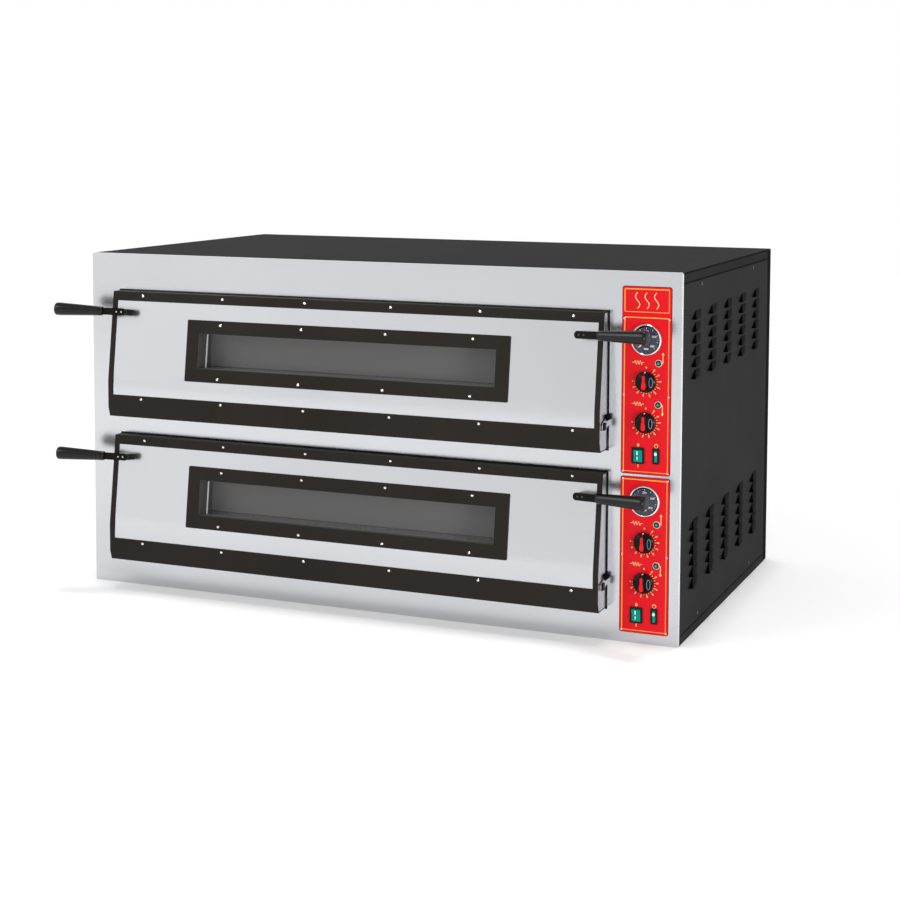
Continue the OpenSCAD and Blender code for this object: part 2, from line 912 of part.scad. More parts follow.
// Stainless face panel behind the frame's borders
module door_panel(deck) {
    low = door_z + chamfer_h + 2;
    high = door_top - 6;
    color(steel) deck_place(deck) difference() {
        along_x(door_left + frame_t, door_right - frame_t) polygon([
            [face_y(frame_t, low), low], [face_y(frame_t, kink_z), kink_z],
            [face_y(frame_t, high), high], [face_y(frame_t + panel_t, high), high],
            [face_y(frame_t + panel_t, kink_z), kink_z], [face_y(frame_t + panel_t, low), low]
        ]);
        on_face() translate([-tunnel_w / 2, -5, window_low + window_border - 2])
            cube([tunnel_w, 10, window_h + 4]);
        at_top_screws() screw_hole();
        at_bottom_screws() screw_hole();
        at_window_screws() screw_hole();
    }
}

module window_frame(deck) {
    color(frame_black) deck_place(deck) difference() {
        on_face_at(0, window_low + frame_h / 2) linear_extrude(window_frame_t) difference() {
            rounded_rect(frame_w, frame_h, window_corner);
            square([window_w, window_h], center = true);
        }
        at_window_screws() screw_hole();
    }
}

// Two panes: one near the face and one at the back of the door
module door_glasses(deck) {
    slack = 0.3;
    color([0.35, 0.36, 0.38, 0.5]) deck_place(deck) for (y = pane_y) {
        box([chamber_x - tunnel_w / 2 + slack, y, tunnel_bottom + slack],
            [chamber_x + tunnel_w / 2 - slack, y + pane_t, tunnel_top - slack]);
    }
}

// Steel back of the door: side plates, back plate, the raised plug and the window tunnel
module door_liner(deck) {
    x0 = door_left;
    x1 = door_right;
    half = plug_w / 2;
    tunnel = tunnel_w / 2;
    color(liner_steel) deck_place(deck) difference() {
        union() {
            along_x(x0, x0 + sheet) polygon(door_outline(frame_t));
            along_x(x1 - sheet, x1) polygon(door_outline(frame_t));
            box([x0, door_back - sheet, door_z + frame_t], [x1, door_back, door_top - frame_t]);
            difference() {
                box([chamber_x - half, door_back - sheet, plug_bottom],
                    [chamber_x + half, plug_d, plug_top]);
                box([chamber_x - half + sheet, door_back, plug_bottom + sheet],
                    [chamber_x + half - sheet, plug_d - sheet, plug_top - sheet]);
            }
            difference() {
                box([chamber_x - tunnel - tunnel_wall, -door_proud, tunnel_bottom - tunnel_wall],
                    [chamber_x + tunnel + tunnel_wall, plug_d, tunnel_top + tunnel_wall]);
                on_face() translate([-tunnel_w, -50, -50]) cube([2 * tunnel_w, 50 + panel_t, 300]);
            }
        }
        box([chamber_x - tunnel, -door_proud - eps, tunnel_bottom],
            [chamber_x + tunnel, plug_d + eps, tunnel_top]);
        for (x = [x0, x1 - sheet]) {
            translate([x - eps, pivot_y, pivot_z]) rotate([0, 90, 0])
                cylinder(r = pin_r, h = sheet + 2 * eps);
        }
    }
}

// Mineral wool inside the door, around the window tunnel
module door_insulation(deck) {
    tunnel = tunnel_w / 2 + tunnel_wall + 0.5;
    color([0.87, 0.82, 0.62]) deck_place(deck) difference() {
        box([door_left + 6, -18, door_z + 30], [door_right - 6, door_back - sheet, door_top - 10]);
        box([chamber_x - tunnel, -20, tunnel_bottom - tunnel_wall - 0.5],
            [chamber_x + tunnel, door_back, tunnel_top + tunnel_wall + 0.5]);
    }
}

// Hinge pins, riveted in the door's side plates and headed outside the brackets
module hinge_pins(deck) {
    half = door_w / 2;
    color(steel) deck_place(deck) both_sides() translate([half, pivot_y, pivot_z])
        rotate([0, 90, 0]) {
            translate([0, 0, -sheet - 4]) cylinder(r = pin_head_r, h = 4);
            translate([0, 0, -sheet - 1]) cylinder(r = pin_r, h = sheet + 1 + door_gap + 0.3);
            translate([0, 0, door_gap + 0.2]) cylinder(r = pin_head_r, h = 2.4);
        }
}

// Hinge brackets: arms on the recess walls that reach out beside the doors
module hinge_brackets() {
    x1 = door_w / 2 + door_gap;
    color([0.28, 0.28, 0.28]) placed() for (deck = decks) translate([0, 0, deck]) both_sides() {
        translate([0, pivot_y, pivot_z]) along_x(x1 - bracket_t, x1) difference() {
            union() {
                circle(9);
                polygon([[-1, -8.9], [68, 5], [68, 25], [31, 20], [-3, 8.4]]);
            }
            circle(pin_r + running);
        }
    }
}

// Handle frame: origin on the door's face behind the bar's tip, bar direction along +X
module handle_frame() {
    on_face() translate([bar_tip, -bar_stand, handle_low]) rotate([0, 0, -handle_angle]) children();
}

// Block between the door's face and the bar, cut to the bar's slope
module handle_block() {
    near = bar_tip + block_x[0];
    far = bar_tip + block_x[1];
    on_face() translate([0, 0, handle_low - bar_h / 2 + 1]) linear_extrude(bar_h - 2) polygon([
        [near, 0], [far, 0], [far, -bar_stand - block_x[1] * tan(handle_angle)],
        [near, -bar_stand - block_x[0] * tan(handle_angle)]
    ]);
}

// Flat bar with a rounded tip, its block behind and a tang that goes into the grip
module handle_bar_shape() {
    difference() {
        union() {
            handle_frame() {
                translate([bar_h / 2, -bar_t / 2, 0]) rotate([-90, 0, 0])
                    linear_extrude(bar_t) union() {
                        circle(bar_h / 2);
                        translate([0, -bar_h / 2]) square([bar_len - bar_h / 2, bar_h]);
                    }
                translate([bar_len - eps, 0, 0]) rotate([0, 90, 0])
                    cylinder(r = tang_r, h = tang_len + eps);
            }
            handle_block();
        }
        handle_frame() for (x = bar_screws) {
            translate([x, -bar_t, 0]) rotate([-90, 0, 0])
                cylinder(r = screw_shank_r + screw_slack, h = bar_screw_len + bar_t);
        }
    }
}

module handle_bars(deck) {
    color([0.13, 0.12, 0.11]) deck_place(deck) both_sides()
        translate([-chamber_x, 0, 0]) handle_bar_shape();
}

// Turned grip: a slow taper that swells towards its rounded outer end
module handle_grips(deck) {
    nose = 6;
    color([0.10, 0.10, 0.10]) deck_place(deck) both_sides()
        translate([-chamber_x, 0, 0]) handle_frame() translate([bar_len, 0, 0])
            rotate([0, 90, 0]) rotate_extrude() polygon(concat(
                [[0, tang_len + 2], [tang_r + running, tang_len + 2], [tang_r + running, 0]],
                [[8.6, 0], [10, 1.5], [grip_r, grip_len - nose - 8]],
                [for (a = [0 : 18 : 90])
                    [grip_r - nose + nose * cos(a), grip_len - nose + nose * sin(a)]],
                [[0, grip_len]]
            ));
}

module door_screws(deck) {
    color(steel) deck_place(deck) {
        at_top_screws() translate([0, 0, frame_t]) screw(screw_len);
        at_bottom_screws() translate([0, 0, frame_t]) screw(screw_len);
        at_window_screws() translate([0, 0, window_frame_t]) screw(screw_len);
        both_sides() translate([-chamber_x, 0, 0]) handle_frame() for (x = bar_screws) {
            translate([x, -bar_t / 2, 0]) rotate([90, 0, 0]) screw(bar_screw_len);
        }
    }
}

module upper_door_frame() {
    door_frame(deck_pitch);
}

module upper_door_panel() {
    door_panel(deck_pitch);
}

module upper_window_frame() {
    window_frame(deck_pitch);
}

module upper_door_glasses() {
    door_glasses(deck_pitch);
}

module upper_door_liner() {
    door_liner(deck_pitch);
}

module upper_door_insulation() {
    door_insulation(deck_pitch);
}

module upper_hinge_pins() {
    hinge_pins(deck_pitch);
}

module upper_handle_bars() {
    handle_bars(deck_pitch);
}

module upper_handle_grips() {
    handle_grips(deck_pitch);
}

module upper_door_screws() {
    door_screws(deck_pitch);
}

module lower_door_frame() {
    door_frame(0);
}

module lower_door_panel() {
    door_panel(0);
}

module lower_window_frame() {
    window_frame(0);
}

module lower_door_glasses() {
    door_glasses(0);
}

module lower_door_liner() {
    door_liner(0);
}

module lower_door_insulation() {
    door_insulation(0);
}

module lower_hinge_pins() {
    hinge_pins(0);
}

module lower_handle_bars() {
    handle_bars(0);
}

module lower_handle_grips() {
    handle_grips(0);
}

module lower_door_screws() {
    door_screws(0);
}

// ---------- assembly ----------

base_pan();
back_panel();
left_side_panel();
right_side_panel();
top_cover();
front_panel();
upper_door_surround();
lower_door_surround();
upper_chamber();
lower_chamber();
upper_stones();
lower_stones();
upper_elements();
lower_elements();
insulation_boards();
control_bay_wall();
chamber_lamps();
upper_control_plate();
lower_control_plate();
gauge_cases();
gauge_dials();
gauge_glasses();
thermostats();
pilot_lamp_rings();
pilot_lamp_lenses();
rocker_cases();
hinge_brackets();
terminal_block();
cable_gland();
casing_screws();
upper_door_frame();
upper_door_panel();
upper_window_frame();
upper_door_glasses();
upper_door_liner();
upper_door_insulation();
upper_hinge_pins();
upper_handle_bars();
upper_handle_grips();
upper_door_screws();
lower_door_frame();
lower_door_panel();
lower_window_frame();
lower_door_glasses();
lower_door_liner();
lower_door_insulation();
lower_hinge_pins();
lower_handle_bars();
lower_handle_grips();
lower_door_screws();
upper_top_heat_knob();
upper_bottom_heat_knob();
lower_top_heat_knob();
lower_bottom_heat_knob();
upper_heat_rocker();
upper_light_rocker();
lower_heat_rocker();
lower_light_rocker();
upper_gauge_needle();
lower_gauge_needle();
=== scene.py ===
"""Two-deck countertop pizza oven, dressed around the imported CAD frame.

Every length is in metres in the row frame: X runs across the front, Y from the front to the
back and Z up, with the origin under the centre of the casing.
"""
import math

import bmesh
import bpy
from mathutils import Matrix, Vector


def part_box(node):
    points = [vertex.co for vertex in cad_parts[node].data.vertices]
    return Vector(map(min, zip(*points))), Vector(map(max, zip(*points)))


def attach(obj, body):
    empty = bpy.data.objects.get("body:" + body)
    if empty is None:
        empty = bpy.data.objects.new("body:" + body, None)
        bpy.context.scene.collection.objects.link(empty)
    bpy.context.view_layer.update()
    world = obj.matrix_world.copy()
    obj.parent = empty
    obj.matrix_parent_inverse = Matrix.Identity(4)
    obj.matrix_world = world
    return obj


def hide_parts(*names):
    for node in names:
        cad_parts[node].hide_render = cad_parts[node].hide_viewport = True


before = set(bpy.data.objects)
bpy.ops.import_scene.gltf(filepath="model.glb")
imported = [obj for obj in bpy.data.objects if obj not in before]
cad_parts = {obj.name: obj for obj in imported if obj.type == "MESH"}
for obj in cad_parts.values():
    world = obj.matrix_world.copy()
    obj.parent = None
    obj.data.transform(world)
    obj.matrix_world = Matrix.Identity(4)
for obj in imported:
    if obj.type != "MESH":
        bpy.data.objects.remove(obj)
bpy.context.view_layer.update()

DECKS = ("upper", "lower")
OVEN = "oven"

# ---------- places, worked out from the frame ----------

PANEL_LOW, PANEL_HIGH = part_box("front_panel")
FRONT_Y = PANEL_LOW.y
BACK_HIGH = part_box("back_panel")[1]
PLATE_LOW, PLATE_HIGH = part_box("upper_control_plate")
PLATE_Y = PLATE_LOW.y
PLATE_X = (PLATE_LOW.x + PLATE_HIGH.x) / 2
DECK_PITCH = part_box("upper_stones")[0].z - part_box("lower_stones")[0].z


def middle(node):
    """Centre of a CAD node's box."""
    low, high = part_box(node)
    return (low + high) / 2


# ---------- materials ----------


class Finish:
    """Builds one procedural material, node by node."""

    def __init__(self, name, colour, roughness, metallic=0.0, specular=0.5, **sockets):
        self.material = bpy.data.materials.new(name)
        self.material.use_nodes = True
        self.nodes = self.material.node_tree.nodes
        self.links = self.material.node_tree.links
        self.shader = self.nodes["Principled BSDF"]
        self.set("Base Color", (*colour, 1.0))
        self.set("Roughness", roughness)
        self.set("Metallic", metallic)
        self.set("Specular IOR Level", specular)
        for socket, value in sockets.items():
            self.set(socket.replace("_", " "), value)
        self.material.diffuse_color = (*colour, 1.0)

    def set(self, socket, value):
        self.shader.inputs[socket].default_value = value

    def noise(self, scale, detail=3.0, stretch=(1.0, 1.0, 1.0)):
        """Noise in metres of the row frame; stretch multiplies the scale along each axis."""
        coordinates = self.nodes.new("ShaderNodeTexCoord")
        mapping = self.nodes.new("ShaderNodeMapping")
        mapping.inputs["Scale"].default_value = stretch
        texture = self.nodes.new("ShaderNodeTexNoise")
        texture.inputs["Scale"].default_value = scale
        texture.inputs["Detail"].default_value = detail
        self.links.new(coordinates.outputs["Object"], mapping.inputs["Vector"])
        self.links.new(mapping.outputs["Vector"], texture.inputs["Vector"])
        return texture.outputs["Fac"]

    def ramp(self, value, stops):
        """Colour ramp through (position, colour) stops."""
        ramp = self.nodes.new("ShaderNodeValToRGB")
        elements = ramp.color_ramp.elements
        while len(elements) < len(stops):
            elements.new(0.5)
        for element, (position, colour) in zip(elements, stops):
            element.position = position
            element.color = (*colour, 1.0)
        self.links.new(value, ramp.inputs["Fac"])
        return ramp.outputs["Color"]

    def spread(self, value, low, high):
        """Maps the middle of a noise onto low..high."""
        node = self.nodes.new("ShaderNodeMapRange")
        node.inputs["From Min"].default_value = 0.3
        node.inputs["From Max"].default_value = 0.7
        node.inputs["To Min"].default_value = low
        node.inputs["To Max"].default_value = high
        self.links.new(value, node.inputs["Value"])
        return node.outputs["Result"]

    def tint(self, value, low, high):
        self.links.new(
            self.ramp(value, ((0.3, low), (0.7, high))), self.shader.inputs["Base Color"]
        )
        return self

    def rough(self, value, low, high):
        self.links.new(self.spread(value, low, high), self.shader.inputs["Roughness"])
        return self

    def bump(self, value, strength, distance):
        node = self.nodes.new("ShaderNodeBump")
        node.inputs["Strength"].default_value = strength
        node.inputs["Distance"].default_value = distance
        self.links.new(value, node.inputs["Height"])
        self.links.new(node.outputs["Normal"], self.shader.inputs["Normal"])
        return self


def grey(value, warm=0.0):
    """Neutral colour, warmed by adding to red and taking from blue."""
    return (value + warm, value, value - warm)


def brushed(name, colour, roughness, grain=(0.02, 1.0, 1.0)):
    """Steel with fine scratches along one axis and slow cloudy changes."""
    made = Finish(name, colour, roughness, metallic=1.0)
    cloud = made.noise(2.2, 2.0)
    made.tint(cloud, [c * 0.98 for c in colour], [c * 1.02 for c in colour])
    streaks = made.noise(900.0, 2.0, grain)
    made.rough(streaks, roughness - 0.03, roughness + 0.04)
    return made.bump(streaks, 0.06, 0.00003).material


def painted(name, tone, roughness, specular, grain, strength, warm=0.0):
    """Paint with a fine orange-peel grain and a faint unevenness in its tone."""
    made = Finish(name, grey(tone, warm), roughness, specular=specular)
    cloud = made.noise(5.0, 3.0)
    made.tint(cloud, grey(tone * 0.90, warm), grey(tone * 1.10, warm))
    peel = made.noise(grain, 2.0)
    made.rough(peel, roughness - 0.05, roughness + 0.05)
    return made.bump(peel, strength, 0.0002).material


def plain(name, colour, roughness, **sockets):
    """Moulded or polished surface with a barely uneven gloss."""
    made = Finish(name, colour, roughness, **sockets)
    made.rough(made.noise(160.0, 2.0), max(roughness - 0.03, 0.0), roughness + 0.03)
    return made.material


def stone_finish():
    """Pale refractory stone, patchy and gritty."""
    made = Finish("stone", (0.60, 0.53, 0.42), 0.9, specular=0.2)
    grit = made.noise(420.0, 6.0)
    patches = made.noise(9.0, 4.0)
    made.tint(patches, (0.50, 0.43, 0.33), (0.66, 0.59, 0.48))
    return made.bump(grit, 0.5, 0.0006).material


def wool_finish():
    """Yellowish mineral wool with its fibres along Z."""
    made = Finish("mineral_wool", (0.66, 0.58, 0.33), 0.95, specular=0.1)
    fibres = made.noise(300.0, 6.0, (1.0, 1.0, 0.15))
    made.tint(fibres, (0.55, 0.47, 0.24), (0.74, 0.66, 0.42))
    return made.bump(fibres, 0.8, 0.0015).material


def chamber_finish():
    """Aluminised sheet with the straw and brown tints of heat."""
    made = Finish("liner_steel", grey(0.52), 0.38, metallic=1.0)
    made.tint(made.noise(3.5, 4.0), (0.44, 0.42, 0.39), (0.58, 0.58, 0.58))
    spangle = made.noise(140.0, 4.0)
    made.rough(spangle, 0.30, 0.46)
    return made.bump(spangle, 0.06, 0.0001).material


# Keyed by name, less the number that Blender adds where the frame has a material of that name
FINISHES = {made.name.split(".")[0]: made for made in (
    brushed("front_steel", (0.595, 0.605, 0.632), 0.20),
    # brighter copy of the front steel: painted highlight on the front panel's side edges
    brushed("steel_painted_highlight", grey(0.93), 0.30),
    chamber_finish(),
    painted("casing_paint", 0.023, 0.62, 0.014, 1400.0, 0.25),
    # darker copy of the casing paint: painted shade on the upward-facing louvre scoops
    painted("louvre_painted_shade", 0.009, 0.6, 0.006, 1400.0, 0.2),
    # darker copy of the casing paint: painted shade on the lid's upward face
    painted("cover_painted_shade", 0.018, 0.62, 0.010, 1400.0, 0.25),
    painted("screw_black", 0.05, 0.35, 0.6, 900.0, 0.05),
    painted("frame_black", 0.018, 0.5, 0.05, 1100.0, 0.10, warm=0.003),
    painted("bar_black", 0.005, 0.30, 0.09, 900.0, 0.08, warm=0.001),
    brushed("side_steel", (0.60, 0.61, 0.63), 0.26, (1.0, 1.0, 0.02)),
    # white: the hinge pin ends, and a painted highlight on the window's steel edge
    plain("white_and_painted_highlight", grey(0.95), 0.5, specular=0.2),
    painted("lining_grey", 0.085, 0.5, 0.1, 900.0, 0.05, warm=0.003),
    painted("step_grey", 0.16, 0.5, 0.2, 900.0, 0.05, warm=0.004),
    stone_finish(),
    wool_finish(),
    painted("element_steel", 0.06, 0.5, 0.5, 700.0, 0.2, warm=0.01),
    plain("red_plate", (0.66, 0.010, 0.017), 0.35, specular=0.06),
    plain("print_orange", (1.0, 0.36, 0.07), 0.5, specular=0.1),
    plain("print_yellow", (1.0, 0.74, 0.28), 0.5, specular=0.1),
    plain("print_white", grey(0.88), 0.5, specular=0.1),
    plain("chrome_trim", grey(0.90), 0.18, metallic=1.0),
    plain("screw_steel", grey(0.88), 0.22, metallic=1.0),
    plain("dial_slate", (0.045, 0.055, 0.090), 0.6, specular=0.1),
    plain("cream_plastic", (0.78, 0.66, 0.64), 0.4, specular=0.2),
    plain("black_plastic", grey(0.010), 0.38, specular=0.15),
    plain("grip_black", grey(0.004), 0.20, specular=0.30),
    plain("knob_black", grey(0.005), 0.22, specular=0.12),
    plain("knob_red", (0.72, 0.008, 0.014), 0.3, specular=0.1),
    plain("green_rocker", (0.0, 0.25, 0.19), 0.2, specular=0.12),
    plain("rocker_light", (0.55, 0.95, 0.88), 0.3, specular=0.2),
    plain("green_lens", (0.0, 0.075, 0.035), 0.12, specular=0.35),
    # silver-blue metal for the painted glint ring on the knobs
    plain("knob_painted_glint", (0.24, 0.29, 0.40), 0.35, metallic=1.0),
    plain("lens_glow", (0.02, 0.42, 0.22), 0.2, specular=0.2),
    # near-black for real gaps and print, also painted shade at the casing folds and round the
    # plates
    plain("dark_gap_and_painted_shade", grey(0.003), 0.8, specular=0.03),
    plain("clear_glass", grey(0.97), 0.03, Transmission_Weight=1.0, IOR=1.3),
    # grey, mostly opaque and barely reflective: the grey is a painted reflection of the bright
    # room in the panes
    plain("oven_glass", (0.185, 0.182, 0.180), 0.25, specular=0.06, Alpha=0.86),
    plain("lamp_glass", (0.93, 0.91, 0.82), 0.35, Transmission_Weight=0.6),
)}

# ---------- shapes ----------

SMOOTH_ANGLE = math.radians(32)


def link(thing):
    """Puts an object in the scene."""
    bpy.context.scene.collection.objects.link(thing)


def settle(mesh, finish):
    """Gives a mesh its material and smooth shading that stays sharp at real edges."""
    mesh.materials.clear()
    mesh.materials.append(FINISHES[finish])
    mesh.shade_smooth()
    mesh.set_sharp_from_angle(angle=SMOOTH_ANGLE)


def show(mesh, name, body, finish, stands_for=(), edge=0.0):
    """Puts a mesh in the scene as a piece that rides on a body."""
    settle(mesh, finish)
    piece = bpy.data.objects.new(name, mesh)
    link(piece)
    if edge:
        bevel = piece.modifiers.new("edge", "BEVEL")
        bevel.width = edge
        bevel.segments = 2
        bevel.limit_method = "ANGLE"
        bevel.angle_limit = SMOOTH_ANGLE
        bevel.harden_normals = True
    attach(piece, body)
    for node in stands_for:
        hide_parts(node)
    return piece


FOLD_LEAST, FOLD_MOST, FOLD_LENGTH, FOLD_STEPS = 0.02, math.radians(20), 0.3, 6


def soften_fold(shape, reach):
    """Turns the slight fold across a sheet into an even curve that starts a reach below it and
    ends a reach above it."""
    fold = next(e for e in shape.edges if len(e.link_faces) == 2
                and e.calc_length() > FOLD_LENGTH
                and FOLD_LEAST < e.calc_face_angle() < FOLD_MOST)
    z, slope = fold.verts[0].co.z, math.tan(fold.calc_face_angle())
    for i in range(-FOLD_STEPS, FOLD_STEPS + 1):
        bmesh.ops.bisect_plane(
            shape, geom=shape.verts[:] + shape.edges[:] + shape.faces[:], dist=1e-6,
            plane_co=(0.0, 0.0, z + i * reach / FOLD_STEPS), plane_no=(0.0, 0.0, 1.0))
    for vert in shape.verts:
        away = abs(vert.co.z - z)
        if away < reach:
            vert.co.y += slope * (reach - away) ** 2 / (4 * reach)


def dressed(node, body, finish, edge=0.0004, bend=0.0):
    """A CAD node's own shape with clean faces, softly broken edges and, where a bend is given,
    its slight folds rounded over that distance."""
    shape = bmesh.new()
    shape.from_mesh(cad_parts[node].data)
    bmesh.ops.remove_doubles(shape, verts=shape.verts, dist=1e-6)
    bmesh.ops.dissolve_limit(
        shape, angle_limit=math.radians(0.4), verts=shape.verts, edges=shape.edges
    )
    bmesh.ops.recalc_face_normals(shape, faces=shape.faces)
    if bend:
        soften_fold(shape, bend)
    mesh = bpy.data.meshes.new(node + "_piece")
    shape.to_mesh(mesh)
    shape.free()
    return show(mesh, mesh.name, body, finish, [node], edge)


def left_plain(node, finish):
    """A CAD node that is shown as it is, with its material."""
    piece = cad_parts[node]
    settle(piece.data, finish)


def facing(x, y, z):
    """Frame on a front face: x across, y up and z out of the face towards the user."""
    return Matrix.Translation((x, y, z)) @ Matrix.Rotation(math.radians(90), 4, "X")


class Shape:
    """Collects the faces of one piece."""

    def __init__(self):
        self.points = []
        self.faces = []

    def add(self, points, faces, place=None):
        """Points and faces in the local frame of a place."""
        start = len(self.points)
        place = place or Matrix.Identity(4)
        self.points += [place @ Vector(p) for p in points]
        self.faces += [[start + i for i in face] for face in faces]

    def box(self, low, high, place=None):
        """Box between two opposite corners."""
        xs, ys, zs = zip(low, high)
        corners = [(x, y, z) for z in zs for y in ys for x in xs]
        self.add(
            corners,
            [(0, 2, 3, 1), (4, 5, 7, 6), (0, 1, 5, 4), (2, 6, 7, 3), (0, 4, 6, 2), (1, 3, 7, 5)],
            place,
        )

    def prism(self, outline, bottom, top, place=None, top_outline=None):
        """Straight or tapered body between two outlines of (x, y) points."""
        count = len(outline)
        points = [(x, y, bottom) for x, y in outline]
        points += [(x, y, top) for x, y in (top_outline or outline)]
        faces = [tuple(reversed(range(count))), tuple(range(count, 2 * count))]
        faces += [(i, (i + 1) % count, count + (i + 1) % count, count + i) for i in range(count)]
        self.add(points, faces, place)

    def turned(self, profile, place, steps=48):
        """Body of revolution about local z through (radius, height) points; ends at radius 0
        close the body."""
        points, rings = [], []
        for radius, height in profile:
            if radius < 1e-7:
                rings.append([len(points)])
                points.append((0.0, 0.0, height))
            else:
                rings.append(list(range(len(points), len(points) + steps)))
                points += [
                    (radius * math.cos(a), radius * math.sin(a), height)
                    for a in (2 * math.pi * i / steps for i in range(steps))
                ]
        faces = []
        for below, above in zip(rings, rings[1:]):
            for i in range(steps):
                j = (i + 1) % steps
                low = [below[i], below[j]] if len(below) > 1 else [below[0]]
                high = [above[j], above[i]] if len(above) > 1 else [above[0]]
                if len(low) + len(high) > 2:
                    faces.append(low + high)
        self.add(points, faces, place)

    def line(self, points, width, height, place, closed=False):
        """Flat printed line of one width through (x, y) points, height thick."""
        pts = [Vector((*p, 0.0)).to_2d() for p in points]
        count = len(pts)
        left, right = [], []
        for i, p in enumerate(pts):
            before = pts[i - 1] if (i or closed) else None
            after = pts[(i + 1) % count] if (i + 1 < count or closed) else None
            ways = [w.normalized() for w in
                    ([p - before] if before else []) + ([after - p] if after else [])]
            normals = [Vector((-w.y, w.x)) for w in ways]
            mitre = sum(normals, Vector((0.0, 0.0))).normalized()
            reach = width / 2 / max(mitre.dot(normals[0]), 0.5)
            left.append(p + mitre * reach)
            right.append(p - mitre * reach)
        quads = range(count if closed else count - 1)
        for i in quads:
            j = (i + 1) % count
            outline = [right[i], right[j], left[j], left[i]]
            self.prism([tuple(v) for v in outline], 0.0, height, place)

    def piece(self, name, body, finish, stands_for=(), edge=0.0):
        """Turns what was collected into one shown piece."""
        mesh = bpy.data.meshes.new(name)
        mesh.from_pydata([tuple(p) for p in self.points], [], self.faces)
        shape = bmesh.new()
        shape.from_mesh(mesh)
        bmesh.ops.recalc_face_normals(shape, faces=shape.faces)
        shape.to_mesh(mesh)
        shape.free()
        mesh.update()
        return show(mesh, name, body, finish, stands_for, edge)


def arc(cx, cy, radius, start, end, steps):
    """Points along an arc, angles in degrees."""
    return [
        (cx + radius * math.cos(math.radians(start + (end - start) * i / steps)),
         cy + radius * math.sin(math.radians(start + (end - start) * i / steps)))
        for i in range(steps + 1)
    ]


def rounded(w, h, r, steps=5):
    """Outline of a rounded rectangle round the origin, w by h."""
    corners = [(w / 2 - r, h / 2 - r, 0), (r - w / 2, h / 2 - r, 90),
               (r - w / 2, r - h / 2, 180), (w / 2 - r, r - h / 2, 270)]
    return [p for x, y, a in corners for p in arc(x, y, r, a, a + 90, steps)]


def cross_head(shape, place, radius, height):
    """Domed screw head with a cross recess, as a fine polar grid."""
    rings, steps = 7, 24
    slot_half, slot_reach, slot_depth, edge_drop = 0.16, 0.62, 0.55, 0.75
    points, faces = [(0.0, 0.0, height * (1 - slot_depth))], []
    for ring in range(1, rings + 1):
        share = ring / rings
        for i in range(steps):
            a = 2 * math.pi * (i + 0.5) / steps
            x, y = share * math.cos(a), share * math.sin(a)
            dome = height * (1 - edge_drop * share ** 4)
            in_cross = min(abs(x), abs(y)) < slot_half and share < slot_reach
            sunk = height * slot_depth if in_cross else 0.0
            points.append((x * radius, y * radius, dome - sunk))
    rim = len(points)
    points += [(radius * math.cos(2 * math.pi * (i + 0.5) / steps),
                radius * math.sin(2 * math.pi * (i + 0.5) / steps), 0.0) for i in range(steps)]
    for i in range(steps):
        j = (i + 1) % steps
        faces.append((0, 1 + i, 1 + j))
        for ring in range(rings):
            inner = 1 + ring * steps
            outer = inner + steps if ring < rings - 1 else rim
            faces.append((inner + i, outer + i, outer + j, inner + j))
    shape.add(points, faces, place)


def islands(node):
    """Vertex places of each of a CAD node's separate solids."""
    shape = bmesh.new()
    shape.from_mesh(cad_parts[node].data)
    bmesh.ops.remove_doubles(shape, verts=shape.verts, dist=1e-6)
    todo, found = set(shape.verts), []
    while todo:
        front, group = [todo.pop()], []
        while front:
            v = front.pop()
            group.append(v.co.copy())
            for e in v.link_edges:
                other = e.other_vert(v)
                if other in todo:
                    todo.remove(other)
                    front.append(other)
        found.append(group)
    shape.free()
    return found


# ---------- casing ----------

for node in ("base_pan", "back_panel"):
    dressed(node, OVEN, "casing_paint", 0.0008)
# the lid takes a darker copy of the casing paint: painted shade on the top
dressed("top_cover", OVEN, "cover_painted_shade", 0.0008)
dressed("front_panel", OVEN, "front_steel", 0.0007)

LOUVRE_COLUMNS = 5
LOUVRE_ROWS = 6
LOUVRE_PITCH = (0.134, 0.024)
LOUVRE_START_Y = 0.072
LOUVRE_GROUPS = (0.101, 0.530)
LOUVRE_LENGTH = 0.076
LOUVRE_HEIGHT = 0.017
LOUVRE_SLOT = 0.034


def louvre_hood(shape, y, z, face, outward, rise):
    """Pressed scoop: open towards the front, standing out most at its lower edge and fading
    into the sheet at its top and behind."""
    along, across, wall = 8, 8, 0.0009
    foot, fade, tail = 0.008, 0.9, 1.6
    outer, inner = [], []
    for j in range(across + 1):
        v = j / across
        front = foot + (LOUVRE_SLOT - foot) * v
        for i in range(along + 1):
            u = i / along
            lift = rise * (1 - v) ** fade * (1 - u ** tail)
            at = (y + front + (LOUVRE_LENGTH - front) * u, z + v * LOUVRE_HEIGHT)
            outer.append((face + outward * lift, *at))
            inner.append((face + outward * (lift - wall), *at))
    width, count = along + 1, len(outer)
    faces = []
    for j in range(across):
        for i in range(along):
            a = j * width + i
            faces.append((a, a + 1, a + 1 + width, a + width))
            faces.append((count + a, count + a + width, count + a + 1 + width, count + a + 1))
        a = j * width
        faces.append((a, count + a, count + a + width, a + width))
    foot_line = [(face - outward * wall, p[1], p[2]) for p in outer[:width]]
    start = 2 * count
    for i in range(along):
        faces.append((i, i + 1, start + i + 1, start + i))
    shape.add(outer + inner + foot_line, faces)


def cut_edges(shape, outline, face, inside):
    """Walls of a side sheet's thickness along a closed outline of (y, z) points."""
    for (ya, za), (yb, zb) in zip(outline, outline[1:] + outline[:1]):
        shape.add([(face, ya, za), (face, yb, zb), (inside, yb, zb), (inside, ya, za)],
                  [(0, 1, 2, 3)])


